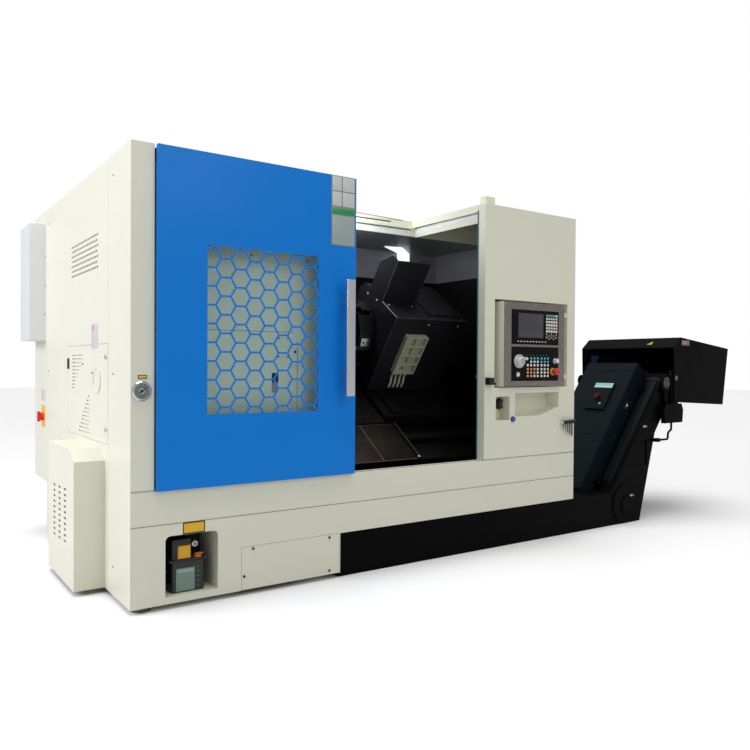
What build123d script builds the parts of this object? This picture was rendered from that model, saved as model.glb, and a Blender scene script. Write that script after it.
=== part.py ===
"""Slant-bed turning lathe with a sliding door, a turret, a tailstock and a chip conveyor.

Millimetres. X runs right along the front, Y runs back, Z runs up. While the pieces are
drawn, zero is the front left corner of the housing at the underside of its base. At the end
everything moves so that the origin is under the middle of the machine, on the floor.
"""
import os
from math import acos, atan2, cos, hypot, pi, radians, sin, sqrt, tan

from build123d import *

# Housing
width = 2655.0
height = 1880.0
depth = 1640.0
sheet = 3.0
fold = 25.0
seam = 1.5
foot_height = 22.0
foot_radius = 48.0
run_gap = 0.3

# Front
base_top = 470.0
base_seam = 333.0
skirt_bottom = 189.0
column_width = 95.0
column_depth = 325.0
door_left = column_width + 6.0
door_width = 954.0
door_depth = 20.0
cabinet_width = 739.0
right_cabinet_left = width - cabinet_width
cabinet_wall = 60.0
liner_left = 933.0
side_cavity = 95.0
liner_right = width - side_cavity
liner_front = 80.0
liner_back = 1208.0
roof_beam_y = 655.0
roof_thickness = 90.0

# Slanted bed
slant = 35.3
bed_level = 235.0
bed_front = 415.0
bed_rear = 1400.0
rear_gap = 207.0
bed_left = 600.0
bed_right = liner_right - 20.0
cover_level = 300.0
carriage_rails = (790.0, 1330.0)
tail_rails = (460.0, 630.0)
rail_width = 45.0
rail_height = 50.0
tail_rail_height = 40.0

# Spindle line, as a place along the slant and a height above it
spindle_along = 800.0
spindle_level = 567.0
bar_radius = 38.0
shaft_radius = 70.0
nose_radius = 100.0
chuck_radius = 125.0
chuck_length = 110.0
bore_clearance = 0.05
boss_length = 18.0
spindle_pulley_radius = 110.0
motor_pulley_radius = 80.0
pulley_x = 510.0
pulley_width = 56.0
motor_y = 640.0
motor_z = 330.0

# Carriage and turret
carriage_x = (1543.0, 2053.0)
housing_along = (970.0, 1390.0)
housing_level = (350.0, 850.0)
turret_along = 1259.0
turret_level = 568.0
turret_radius = 200.0
turret_x = (1430.0, 1530.0)
tool_stations = 12

# Tailstock
tail_length = 255.0
tail_x = (liner_right - 15.0 - tail_length, liner_right - 15.0)
tail_barrel_radius = 78.0
quill_radius = 38.0

# Conveyor
trough_left = 990.0
trough_y = (12.0, 695.0)
trough_top = 184.0
incline = 53.6
conveyor_reach = 367.0
strip_foot = (width + conveyor_reach, 172.0)
cover_rise = 126.0
casing_drop = 150.0
head_along = 906.0
head_drop = 25.0
belt_radius = 66.0
belt_thickness = 8.0
plate = 4.0

SIN = sin(radians(slant))
COS = cos(radians(slant))
opening_top = height - 3.0


def block(x, y, z):
    """A box between three (low, high) pairs."""
    pairs = (x, y, z)
    middle = [(low + high) / 2 for low, high in pairs]
    sizes = [high - low for low, high in pairs]
    return Pos(*middle) * Box(*sizes)


def front(y):
    """Plane of a front view: X right, Z up, extruding towards the front."""
    return Plane(origin=(0, y, 0), x_dir=(1, 0, 0), z_dir=(0, -1, 0))


def side(x):
    """Plane of a side view: Y right, Z up, extruding towards +X."""
    return Plane(origin=(x, 0, 0), x_dir=(0, 1, 0), z_dir=(1, 0, 0))


def slanted(x):
    """Side plane of the slanted bed: along the slant, height above it, extruding towards +X."""
    return Plane(origin=(x, 0, 0), x_dir=(0, COS, SIN), z_dir=(1, 0, 0))


def top(z):
    """Plane of a plan view, extruding upwards."""
    return Plane(origin=(0, 0, z))


def on_slant(along, level):
    """(Y, Z) of a place given along the slant and above it."""
    return along * COS - level * SIN, along * SIN + level * COS


def outline(points):
    return make_face(Polyline(*points, close=True))


def prism(plane, points, length):
    return extrude(plane * outline(points), amount=length)


def rod(plane, place, radius, length):
    return extrude(plane * Pos(*place) * Circle(radius), amount=length)


def ring(plane, place, outer, inner, length):
    return extrude(plane * Pos(*place) * (Circle(outer) - Circle(inner)), amount=length)


def slab(plane, x, y, length):
    """A box drawn on a plane between two (low, high) pairs."""
    points = [(x[0], y[0]), (x[1], y[0]), (x[1], y[1]), (x[0], y[1])]
    return prism(plane, points, length)


def join(pieces):
    """One shape out of many."""
    pieces = list(pieces)
    return pieces[0].fuse(*pieces[1:]) if len(pieces) > 1 else pieces[0]


def cut(body, tools):
    tools = list(tools)
    return body.cut(*tools) if tools else body


def tray(x, y, z, open_sides, wall=sheet):
    """A folded sheet box with the named sides left open."""
    inner = []
    for low_name, high_name, (low, high) in (("x0", "x1", x), ("y0", "y1", y), ("z0", "z1", z)):
        start = low - 1 if low_name in open_sides else low + wall
        end = high + 1 if high_name in open_sides else high - wall
        inner.append((start, end))
    return block(x, y, z) - block(*inner)


SPINDLE_Y, SPINDLE_Z = on_slant(spindle_along, spindle_level)
rear_shelf_z = on_slant(bed_rear, bed_level)[1]
bed_back = liner_back + 25.0
foot_back = depth - rear_gap
apron_right = carriage_x[0] + 62.0


# Bed and base

def bed():
    """The cast slant bed with its leg under the headstock, its shelf and its guideways."""
    tunnel_y = trough_y[1] + 25.0
    tunnel_top = trough_top + 55.0
    nose_y, nose_z = on_slant(bed_front, bed_level)
    profile = [
        (nose_y, nose_z),
        on_slant(bed_rear, bed_level),
        (bed_back, rear_shelf_z),
        (foot_back, rear_shelf_z * 0.5),
        (foot_back, 0),
        (tunnel_y, 0),
        (tunnel_y, tunnel_top),
        (nose_y + 120, tunnel_top),
        (nose_y, nose_z - 70),
    ]
    body = prism(side(bed_left), profile, bed_right - bed_left)
    leg_right = trough_left - 20.0
    leg = prism(
        side(bed_left),
        [(nose_y - 40, 0), (tunnel_y + 5, 0), (tunnel_y + 5, tunnel_top + 5),
         (nose_y + 110, nose_z), (nose_y - 40, nose_z - 60)],
        leg_right - bed_left,
    )
    half = rail_width / 2
    rails = [
        slab(slanted(liner_left + 5), (along - half, along + half),
             (bed_level - 1, bed_level + rail_height), bed_right - liner_left - 35)
        for along in carriage_rails
    ]
    rails += [
        slab(slanted(apron_right + 5), (along - half, along + half),
             (bed_level - 1, bed_level + tail_rail_height), bed_right - apron_right - 35)
        for along in tail_rails
    ]
    wall = 40.0
    cavity = [
        (tunnel_y + wall, -1), (foot_back - wall, -1), (foot_back - wall, rear_shelf_z * 0.5 - 20),
        (bed_back - wall, rear_shelf_z - 60), on_slant(bed_rear - wall, bed_level - 60),
        on_slant(720, bed_level - 60), (tunnel_y + wall, tunnel_top + wall),
    ]
    bays = 4
    bay = (bed_right - bed_left - wall) / bays
    cavities = [prism(side(bed_left + wall + index * bay), cavity, bay - wall) for index in range(bays)]
    return cut(join([body, leg] + rails), cavities)


def levelling_feet():
    """Levelling pads and screws under the bed's outer walls and the housing's corners."""
    feet = []
    for x in (bed_left + 20, (bed_left + bed_right) / 2, bed_right - 20):
        for y in (trough_y[1] + 25 + foot_radius / 2, foot_back - 20):
            pad = rod(top(-foot_height), (x, y), foot_radius, foot_height * 0.6)
            screw = rod(top(-foot_height * 0.4), (x, y), 14, foot_height * 0.4)
            feet.append(pad + screw)
    for x, y in ((60, 60), (60, depth - 60), (width - 60, depth - 60)):
        pad = rod(top(-foot_height), (x, y), 40, foot_height * 0.6)
        feet.append(pad + rod(top(-foot_height * 0.4), (x, y), 12, foot_height * 0.4))
    return Compound(children=feet)


lubricator_x = (143.0, 372.0)
lubricator_z = (28.0, 280.0)
lubricator_depth = 220.0
access_x = (480.0, trough_left - sheet)
access_top = skirt_bottom + 1.0
access_depth = 16.0


def front_base():
    """The lower front of the housing, with the pocket for the lubricator."""
    body = block((0, width), (0, sheet), (skirt_bottom, base_top))
    body += block((0, trough_left), (0, sheet), (0, skirt_bottom))
    body += block((column_width, right_cabinet_left), (0, cabinet_wall), (base_top - sheet, base_top))
    body += block((sheet, access_x[0]), (0, column_depth), (0, sheet))
    body += block((trough_left, width), (0, trough_y[0] - 2), (skirt_bottom, skirt_bottom + sheet))
    body += block((column_width + 1, right_cabinet_left - 1), (12, 18), (base_top, base_top + 6))
    body += block((access_x[0] - sheet, trough_left), (0, access_depth + sheet), (0, access_top + sheet))
    body -= block(access_x, (-1, access_depth), (-1, access_top))
    body -= block((access_x[0] + 20, access_x[1] - 20), (0, access_depth + 5), (-1, access_top - 16))
    body -= block((-1, width + 1), (-1, 1.2), (base_seam - 1.5, base_seam + 1.5))
    pocket = block(
        (lubricator_x[0] - 2, lubricator_x[1] + 2), (sheet, lubricator_depth),
        (lubricator_z[0] - 2, lubricator_z[1] + 2),
    )
    hollow = block(lubricator_x, (-1, lubricator_depth - 2), lubricator_z)
    rounded = fillet(hollow.edges().filter_by(Axis.Y).group_by(Axis.Z)[-1], 22)
    return body + pocket - rounded


def access_cover():
    """The screwed cover at the lower front."""
    x = (access_x[0] + seam, access_x[1] - seam)
    cover = tray(x, (0, access_depth), (seam, access_top - seam), ("y1",), 2.5)
    holes = [rod(front(5), place, 4, 10) for place in cover_screws()]
    return cut(cover, holes)


def cover_screws():
    """Places of the access cover's screws on the front view."""
    left, right = access_x[0] + 14, access_x[1] - 58
    return [(left + 42, access_top - 12), (right, access_top - 14), (left, 61), (right, 20)]


def lubricator_tank():
    """The oil tank in the front pocket."""
    x = (lubricator_x[0] + 38, lubricator_x[1] - 46)
    z = (lubricator_z[0] + 0.3, lubricator_z[0] + 128)
    tank = block(x, (34, 172), z)
    tank = fillet(tank.edges().filter_by(Axis.Z), 12)
    ledge = block((x[0] - 8, x[1] + 8), (40, lubricator_depth - 2.3), (z[1], z[1] + 8))
    return tank + ledge


def lubricator_pump():
    """Pump head, motor, gauge and filler cap on top of the oil tank."""
    low = lubricator_z[0] + 136.3
    left = lubricator_x[0] + 44
    head = block((left, left + 84), (48, 128), (low, low + 84))
    head = fillet(head.edges().filter_by(Axis.Z), 6)
    cap = rod(top(low), (left + 116, 62), 17, 14)
    lever = block((left + 100, left + 134), (44, 60), (low + 14, low + 20))
    neck = block((left + 80, left + 112), (80, 104), (low + 52, low + 66))
    stem = rod(front(92), (left + 100, low + 60), 5, 30)
    gauge = rod(front(66), (left + 100, low + 60), 15, 14)
    base = block((left + 76, left + 116), (56, 100), (low, low + 8))
    return join([head, cap, lever, neck, stem, gauge, base])


# Housing panels

def left_column():
    """The corner post left of the door, with the side sheet down to the floor."""
    z0 = base_top + seam
    post = tray((0, column_width), (0, column_depth - seam), (z0, height), ("z0",))
    inside = sheet + run_gap
    side_sheet = block((0, sheet), (inside, column_depth - seam), (0, z0 + 20))
    flange = block((0, column_width), (inside, inside + sheet), (base_top - 40, z0 + 20))
    hole = rod(front(20), gauge_place, gauge_radius - 4, 40)
    return cut(post + side_sheet + flange, [hole])


gauge_place = (43.0, 880.0)
gauge_radius = 40.0


def pressure_gauge():
    """Case and bezel of the dial gauge on the corner post."""
    case = rod(front(45), gauge_place, gauge_radius - 6, 45)
    bezel = rod(front(0), gauge_place, gauge_radius, 12)
    bezel = chamfer(bezel.edges().group_by(Axis.Y)[0], 4)
    well = rod(front(-6), gauge_place, gauge_radius - 8, 10)
    stem = rod(front(70), gauge_place, 9, 26)
    spigot = rod(front(-5.9), gauge_place, 3, 2.4)
    return case + bezel - well + stem + spigot


def gauge_needle():
    """The pointer, on the dial's spigot."""
    x, z = gauge_place
    points = [(-3, -12), (3, -12), (1, 24), (-1, 24)]
    arm = prism(front(-8.6) * Pos(x, z) * Rot(0, 0, -52), points, 1.0)
    return arm + rod(front(-8.6), gauge_place, 5, 1.2)


belt_door_y = (330.0, 1108.0)
belt_door_z = (635.0, 1078.0)
vent_y = (500.0, 1033.0)
vent_z = (1430.0, 1578.0)


def left_side_panel():
    """The left side sheet with the belt door's opening and the rows of vent slots."""
    y0, y1 = belt_door_y
    z0, z1 = belt_door_z
    body = block((0, sheet), (column_depth, depth), (0, height - sheet))
    body += block((0, fold), (depth - 7.5, depth - 4.5), (0, height - roof_thickness - 3))
    body += block((0, fold * 3.6), (depth - 120, depth - 4.5), (0, sheet))
    body += block((sheet, sheet * 2), (column_depth - 20, column_depth + 20), (20, base_top - 10))
    body += block((0, fold), (y0 - 3, y0), (z0, z1))
    body += block((0, fold), (y0 - 3, y1 + 20), (z0 - 3, z0))
    body += block((0, fold), (y0 - 3, y1 + 20), (z1, z1 + 3))
    tools = [block((-1, sheet + 1), (y0, y1), (z0, z1))]
    rows, columns = 7, 16
    row_pitch = (vent_z[1] - vent_z[0]) / (rows - 1)
    pitch = (vent_y[1] - vent_y[0]) / columns
    for row in range(rows):
        shift = pitch * (0.5 if row % 2 else 0.0)
        z = vent_z[0] + row * row_pitch
        for column in range(columns - row % 2):
            y = vent_y[0] + shift + column * pitch
            tools.append(block((-1, sheet + 1), (y, y + pitch * 0.6), (z - 5, z + 5)))
    tools.append(rod(top(z0 - 4), belt_hinge, 4 + bore_clearance, z1 - z0 + 8))
    return cut(body, tools)


belt_hinge = (6.0, 338.0)


def belt_cover_door():
    """The louvred door over the belt drive, with its round cover and hinge pins."""
    y = (belt_door_y[0] + 3, belt_door_y[1] - seam)
    z = (belt_door_z[0] + seam, belt_door_z[1] - seam)
    body = tray((0, 20), y, z, ("x1",), 2)
    body += ring(side(-5), (510, 915), 62, 54, 5)
    body += rod(side(-2.5), (510, 915), 54, 2.6)
    tools = []
    rows = 10
    for row in range(rows):
        length = 228 - 22 * row
        level = 1030 - 18.2 * row
        tools.append(block((-1, 3), (999 - length, 999), (level - 3, level + 3)))
        length = 30 + 20 * row
        level = 834 - 19.2 * row
        tools.append(block((-1, 3), (655, 655 + length), (level - 3, level + 3)))
    pin = rod(top(belt_door_z[0] - 3), belt_hinge, 4, belt_door_z[1] - belt_door_z[0] + 6)
    boss = block((2, belt_hinge[0] + 3), (belt_hinge[1] - 3, belt_hinge[1] + 3), z)
    latch = block((-6, 2), (belt_door_y[1] - 40, belt_door_y[1] - 14), (962, 1016))
    return cut(body + pin + boss + latch, tools)


pump_x = 130.0
pump_y = (380.0, 911.0)
pump_z = (0.0, 612.0)


def pump_cover():
    """The louvred box over the pumps at the lower left."""
    profile = [
        (pump_y[0], pump_z[0]), (pump_y[1], pump_z[0]), (pump_y[1], pump_z[1]),
        (pump_y[0] + 70, pump_z[1]), (pump_y[0] + 5, pump_z[1] - 49), (pump_y[0], pump_z[1] - 49),
    ]
    body = prism(side(-pump_x), profile, pump_x)
    inner = [
        (pump_y[0] + sheet, -foot_height), (pump_y[1] - sheet, -foot_height),
        (pump_y[1] - sheet, pump_z[1] - sheet), (pump_y[0] + 70, pump_z[1] - sheet),
        (pump_y[0] + 5 + sheet, pump_z[1] - 49 - sheet), (pump_y[0] + sheet, pump_z[1] - 49 - sheet),
    ]
    body -= prism(side(-pump_x + sheet), inner, pump_x)
    tools = []
    for column in range(3):
        for row in range(10):
            y = 531 + column * 111
            z = 188 + row * 26 - column * 4
            tools.append(block((-pump_x - 1, -pump_x + sheet + 1), (y, y + 40), (z - 5, z + 5)))
    tools.append(block((-pump_x - 1, 1), (pump_y[0] - 1, pump_y[0] + 1.2), (284, 287)))
    return cut(body, tools)


cabinet_right = 1500.0
cabinet_back = depth + 360.0
cabinet_bottom = 300.0


def electrical_cabinet():
    """The electrical cabinet hung on the back of the housing."""
    body = tray((0, cabinet_right), (depth + run_gap, cabinet_back), (cabinet_bottom, height), ("y0",))
    rain = block((0, cabinet_right), (cabinet_back - 40, cabinet_back), (height - 12, height))
    seam_cut = block((cabinet_right / 2 - 1.5, cabinet_right / 2 + 1.5), (cabinet_back - 1.2, cabinet_back + 1),
                     (cabinet_bottom + 40, height - 40))
    return body + rain - seam_cut


cooler_x = 88.0
cooler_y = (depth + 20.0, cabinet_back - 17.0)
cooler_z = (height - 755.0, height - 80.0)


def cabinet_cooler():
    """The cooling unit on the side of the electrical cabinet."""
    body = tray((-cooler_x, 0), (cooler_y[0] + 12, cooler_y[1] - 12), cooler_z, ("x1",), 2)
    flange = block((-3, 0), cooler_y, (cooler_z[0] - 4, cooler_z[1] + 4))
    flange -= block((-4, 1), (cooler_y[0] + 14, cooler_y[1] - 14), (cooler_z[0] + 2, cooler_z[1] - 2))
    tools = []
    for row in range(8):
        z = cooler_z[0] + 60 + row * 16
        tools.append(block((-60, -30), (cooler_y[1] - 16, cooler_y[1] - 10), (z, z + 7)))
    return cut(body + flange, tools)


switch_place = (depth + 103.0, 675.0)


def main_switch_knob():
    """The rotary main switch on the cabinet's left side."""
    disc = rod(side(-0.3), switch_place, 24, -18)
    grip = slab(side(-18.2), (switch_place[0] - 8, switch_place[0] + 8),
                (switch_place[1] - 30, switch_place[1] + 30), -16)
    return disc + fillet(grip.edges().filter_by(Axis.X), 5)


def headstock_cover():
    """Fixed cover behind the door and the wall between headstock and work area."""
    face = block((column_width + 3, liner_left), (liner_front, liner_front + sheet),
                 (base_top - 40, height - 50))
    nose_y, nose_z = on_slant(bed_front, bed_level + run_gap)
    back_y, back_z = on_slant(bed_rear, bed_level + run_gap)
    wall_points = [
        (liner_front, nose_z), (nose_y, nose_z), (back_y, back_z), (liner_back, back_z),
        (liner_back, height - roof_thickness - 3.3), (liner_front, height - roof_thickness - 3.3),
    ]
    wall = prism(side(liner_left - sheet), wall_points, sheet)
    hole = rod(side(liner_left - 10), (SPINDLE_Y, SPINDLE_Z), nose_radius + 35, 20)
    sill = block((column_width + 3, liner_left), (cabinet_wall + run_gap, liner_front),
                 (base_top - sheet, base_top))
    slot = block((700, 742), (liner_front - 1, liner_front + sheet + 1), (1030, 1110))
    return cut(join([face, wall, sill]), [hole, slot])


def rear_wall():
    """Back wall of the work area, standing on the bed's shelf."""
    z = (rear_shelf_z + 0.3, height - roof_thickness - 3.3)
    body = block((liner_left, liner_right), (liner_back, liner_back + sheet), z)
    body += block((liner_left, liner_right), (liner_back - 2, liner_back + 16), (z[0], z[0] + sheet))
    x0 = right_cabinet_left + 290
    return body - block((x0, x0 + 120), (liner_back - 1, liner_back + sheet + 1), (height - 153, height))


def roof():
    """Roof with its ceiling, the beam that carries the door and the ears beside the opening."""
    low = height - roof_thickness
    back = depth - sheet - seam
    left = sheet + run_gap
    inside = liner_right - run_gap
    left_top = height - 18.0
    body = block((left, width), (roof_beam_y, back), (height - sheet, height))
    body += block((left, inside), (roof_beam_y, roof_beam_y + sheet), (low, height))
    body += block((left, inside), (roof_beam_y, liner_back + 20), (low - sheet, low))
    body += block((left, inside), (back - sheet, back), (low, height))
    body += block((left, right_cabinet_left), (roof_beam_y - 22, roof_beam_y), (height - 50, height - 45))
    body += block((column_width + 3, door_left + door_width - 6), (cabinet_wall, roof_beam_y - 36),
                  (left_top - sheet, left_top))
    body += block((left, column_width + 3), (column_depth, roof_beam_y), (left_top - sheet, left_top))
    body += block((left, column_width + 4), (roof_beam_y - 80, roof_beam_y - 36), (left_top - sheet, left_top))
    body += block((right_cabinet_left, width), (cabinet_wall, roof_beam_y), (height - sheet, height))
    body += block((right_cabinet_left, right_cabinet_left + sheet), (cabinet_wall, roof_beam_y),
                  (height - 40, height))
    body += block((right_cabinet_left + 22, right_cabinet_left + 26), (cabinet_wall, roof_beam_y),
                  (height - 95, height - sheet))
    x0 = right_cabinet_left + 60
    vent = block((x0, inside - 40), (liner_back - 160, back - 40), (height - 10, height + 10))
    mouth = [(x0 + 22, 1072), (x0 + 138, 1036), (x0 + 364, liner_back + 7), (x0 + 224, liner_back + 7)]
    entry_y = cabinet_wall + 2
    entry = block((x0, x0 + 68), (entry_y, entry_y + 48), (height - 1, height + 58))
    return cut(body + entry, [vent, prism(top(low - 20), mouth, 40)])


def right_side_panel():
    """Double-skinned right side, cut away at the bottom for the conveyor."""
    notch_y = trough_y[1] + 20.0
    notch_z = trough_top + 42.0
    y0, y1 = sheet + run_gap, depth - sheet - seam
    z1 = height - sheet - run_gap
    points = [(y0, notch_z), (notch_y, notch_z), (notch_y, 0), (y1, 0), (y1, z1), (y0, z1)]
    inner = [
        (y0 + sheet, notch_z - 10), (notch_y + sheet, notch_z - 10), (notch_y + sheet, -10),
        (y1 - sheet, -10), (y1 - sheet, z1 - sheet), (y0 + sheet, z1 - sheet),
    ]
    body = prism(side(liner_right), points, width - liner_right)
    body -= prism(side(liner_right + sheet), inner, width - liner_right - 2 * sheet)
    body += block((liner_right, width), (depth - 120, y1), (0, sheet))
    body -= block((liner_right - 1, width + 1), (-1, cabinet_wall + run_gap), (base_top, height + 1))
    return body - block((liner_right - 1, recess_x[1] + 5), (0, recess_depth + 5),
                        (recess_z[0] - 5, recess_z[1] + 5))


recess_x = (right_cabinet_left + 74.0, width - 68.0)
recess_z = (870.0, 1362.0)
recess_depth = 108.0
socket_x = (right_cabinet_left + 87.0, right_cabinet_left + 194.0)
socket_z = (688.0, 820.0)
tray_x = (right_cabinet_left + 236.0, width - 139.0)
tray_z = (705.0, 838.0)
tray_depth = 95.0
rack_x = (width - 124.0, width - 26.0)
rack_z = 657.0
blue_place = (socket_x[1] + 25.0, 691.0)


def pocket_points(x, z):
    return [(x[0], z[0]), (x[1], z[0]), (x[1], z[1]), (x[0], z[1])]


def tray_points(grow=0.0):
    """Outline of the tool tray, with its cut-off lower right corner."""
    return [
        (tray_x[0] - grow, tray_z[0] - grow), (tray_x[1] - 162, tray_z[0] - grow),
        (tray_x[1] + grow, tray_z[0] + 48 - grow), (tray_x[1] + grow, tray_z[1] + grow),
        (tray_x[0] - grow, tray_z[1] + grow),
    ]


def right_cabinet():
    """Front of the right cabinet with the pockets for the control, a socket and tools."""
    x = (right_cabinet_left, width)
    z = (base_top + seam, height)
    body = tray(x, (0, cabinet_wall), z, ("y1",))
    tongue_y = (sheet + run_gap, 2 * sheet + run_gap)
    body += block((x[0] + sheet, liner_right - 5), tongue_y, (base_top - 40, base_top + 20))
    body += block((x[0] + sheet, liner_right - 5), (0, tongue_y[1]), (base_top + 14, base_top + 20))
    hollows = [
        prism(front(recess_depth), pocket_points(recess_x, recess_z), recess_depth + 1),
        prism(front(80), pocket_points(socket_x, socket_z), 81),
        prism(front(tray_depth), tray_points(), tray_depth + 1),
    ]
    shells = [
        prism(front(recess_depth + 2), pocket_points((recess_x[0] - 2, recess_x[1] + 2),
                                                     (recess_z[0] - 2, recess_z[1] + 2)), recess_depth),
        prism(front(82), pocket_points((socket_x[0] - 2, socket_x[1] + 2),
                                       (socket_z[0] - 2, socket_z[1] + 2)), 80),
        prism(front(tray_depth + 2), tray_points(2), tray_depth),
    ]
    body = cut(join([body] + shells), hollows)
    outlet = rod(front(80), (socket_x[0] + 38, socket_z[1] - 52), 24, 22)
    rack = block(rack_x, (-26, 0), (rack_z - 7, rack_z + 7))
    slots = [rod(top(rack_z - 10), (place, -17), 5.0, 20) for place in key_places()]
    latch = block((x[0] + 5, x[0] + 41), (-34, 0), (887, 926))
    latch += block((x[0] + 41, x[0] + 61), (-30, -12), (887, 897))
    hinge = [block((recess_x[1] - 36, recess_x[1] + 1), (8, 30), (z0, z0 + 26)) for z0 in hinge_levels()]
    hinge_holes = [rod(top(z0 - 1), control_hinge, 6.05, 28) for z0 in hinge_levels()]
    body = cut(join([body, outlet, rack, latch] + hinge), slots + hinge_holes)
    return body - rod(front(10), blue_place, 9, 20)


key_count = 5


def key_places():
    """X of each hex key in the rack, from the smallest to the largest."""
    return [rack_x[0] + 12 + 18.5 * index for index in range(key_count)]


def hex_keys():
    """Bent hex keys standing in the rack by their long legs."""
    keys = []
    for index, x in enumerate(key_places()):
        size = 2.0 + 0.6 * index
        length = 46 + 12 * index
        arm = 22 + 4 * index
        level = rack_z + 7 + run_gap + size * cos(radians(30))
        shape = RegularPolygon(size, 6)
        leg = extrude(Plane(origin=(x, -17, level)) * shape, amount=-length)
        if index < key_count - 1:
            bent = Plane(origin=(x, -17 + size, level), x_dir=(1, 0, 0), z_dir=(0, -1, 0))
        else:
            bent = Plane(origin=(x - size, -17, level), x_dir=(0, 1, 0), z_dir=(1, 0, 0))
        keys.append(leg + extrude(bent * shape, amount=arm))
    return Compound(children=keys)


control_x = (recess_x[0] + 36.0, recess_x[1] - 67.0)
control_z = (recess_z[0] + 6.0, recess_z[1] - 12.0)
control_y = (-32.0, 88.0)
frame_sheet = 3.0
display_x = (control_x[0] + 60.0, control_x[1] - 53.0)
display_z = (control_z[0] + 238.0, control_z[1] - 41.0)
panel_z = (control_z[0] + 31.0, control_z[0] + 224.0)
control_hinge = (control_x[1] + 36.0, 19.0)
PANEL_FACE = control_y[0] - frame_sheet - 3
wheel_place = (display_x[0] + 51.0, panel_z[0] + 111.0)
knob_place = (display_x[1] - 32.0, panel_z[0] + 115.0)
estop_place = (display_x[1] - 49.0, panel_z[0] + 53.0)
cycle_place = (display_x[0] + 47.0, panel_z[0] + 37.0)


def hinge_levels():
    return [control_z[0] + 40, control_z[1] - 66]


def control_box():
    """The swivelling box with its bright front frame and hinge arms."""
    body = tray(control_x, control_y, control_z, ("y1",), 2)
    frame = block(control_x, (control_y[0] - frame_sheet, control_y[0]), control_z)
    windows = [
        block((display_x[0] - run_gap, display_x[1] + run_gap), (control_y[0] - 9, control_y[0] + 3),
              (z[0] - run_gap, z[1] + run_gap))
        for z in (display_z, panel_z)
    ]
    arms = []
    for z0 in hinge_levels():
        level = z0 + 26.3
        arms.append(block((control_x[1] - 2, control_hinge[0]), (10, 28), (level, level + 20)))
        arms.append(rod(top(level - 24), control_hinge, 6, 44))
    return cut(join([body, frame] + arms), windows)


def display_unit():
    """The display with its screen recess and key blocks."""
    y = (PANEL_FACE, control_y[0] + 60)
    body = block(display_x, y, display_z)
    span = display_x[1] - display_x[0]
    screen = (display_x[0] + 0.13 * span, display_x[0] + 0.67 * span)
    body -= block(screen, (y[0] - 1, y[0] + 3), (display_z[0] + 38, display_z[1] - 18))
    keys = []
    for row in range(6):
        z = display_z[1] - 20 - row * 18
        for column in range(5):
            x = display_x[0] + (0.715 + 0.0525 * column) * span
            keys.append(block((x, x + 0.042 * span), (y[0] - 1.5, y[0] + 0.5), (z - 13, z)))
    for column in range(10):
        x = display_x[0] + (0.105 + 0.0645 * column) * span
        keys.append(block((x, x + 0.037 * span), (y[0] - 1.5, y[0] + 0.5), (display_z[0] + 12, display_z[0] + 22)))
    return join([body] + keys)


def operator_panel():
    """The machine control panel with its key matrix, sockets and collars."""
    body = block(display_x, (PANEL_FACE, control_y[0] + 50), panel_z)
    span = display_x[1] - display_x[0]
    keys = []
    for row in range(6):
        z = panel_z[0] + 122 - row * 19.5 - (3 if row > 2 else 0)
        for column in range(7):
            if row > 1 or column:
                x = display_x[0] + (0.307 + 0.071 * column + (0.01 if column > 3 else 0)) * span
                keys.append(block((x, x + 0.04 * span), (PANEL_FACE - 2, PANEL_FACE + 0.5), (z, z + 13)))
    collar = ring(front(PANEL_FACE), estop_place, 21, 13.5, 5)
    skirt = ring(front(PANEL_FACE), knob_place, 17, 8.0, 4)
    holes = [
        rod(front(PANEL_FACE + 12), wheel_place, 8.05, 14),
        rod(front(PANEL_FACE + 12), knob_place, 5.05, 14),
        rod(front(PANEL_FACE + 30), estop_place, 12.3, 34),
        rod(front(PANEL_FACE + 22), cycle_place, 10.3, 24),
    ]
    return cut(join([body, collar, skirt] + keys), holes)


def handwheel():
    """Electronic handwheel: a dial plate, a grip and its turning knob."""
    face = PANEL_FACE - 0.4
    dial = rod(front(face), wheel_place, 38, 12)
    grip = rod(front(face - 12), wheel_place, 24, 22)
    grip = chamfer(grip.edges().group_by(Axis.Y)[0], 4)
    knob = rod(front(face - 12), (wheel_place[0] + 22, wheel_place[1] + 14), 8, 34)
    axle = rod(front(face + 10), wheel_place, 8, 11)
    return join([dial, grip, knob, axle])


def override_knob():
    """Feed override knob with its pointer edge."""
    face = PANEL_FACE - 4.4
    body = rod(front(face), knob_place, 13, 20)
    pointer = block((knob_place[0] - 2, knob_place[0] + 2), (face - 21, face - 19),
                    (knob_place[1], knob_place[1] + 12))
    return join([body, pointer, rod(front(PANEL_FACE + 10), knob_place, 5, 16)])


def estop_button():
    """Mushroom head of the emergency stop on its stem."""
    stem = rod(front(PANEL_FACE + 12), estop_place, 12, 40)
    head = rod(front(PANEL_FACE - 24), estop_place, 20, 18)
    return stem + fillet(head.edges().group_by(Axis.Y)[0], 7)


def cycle_button():
    return rod(front(PANEL_FACE + 10), cycle_place, 10, 17)


def blue_button():
    """Push button under the small pocket."""
    return rod(front(8), blue_place, 8.7, 19) + rod(front(-5), blue_place, 12, 7)


def rear_panel():
    """Back sheet of the housing with two rows of cooling slots."""
    body = block((sheet + 1, width), (depth - sheet + 0.3 - seam, depth - seam + 0.3), (30, height - sheet - 1))
    left = width - 955
    tools = [
        block((left + column * 90, left + column * 90 + 50), (depth - 10, depth + 10), (z, z + 12))
        for column in range(8) for z in (height - 380, height - 340)
    ]
    return cut(body, tools)


# Door

window_x = (door_left + 211.0, door_left + door_width - 205.0)
window_z = (base_top + 308.0, height - 390.0)
hex_side = 41.0
hex_bar = 8.0
handle_x = (door_left + door_width - 91.0, door_left + door_width - 44.0)
handle_z = (846.0, 1387.0)
handle_reach = 95.0


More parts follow.
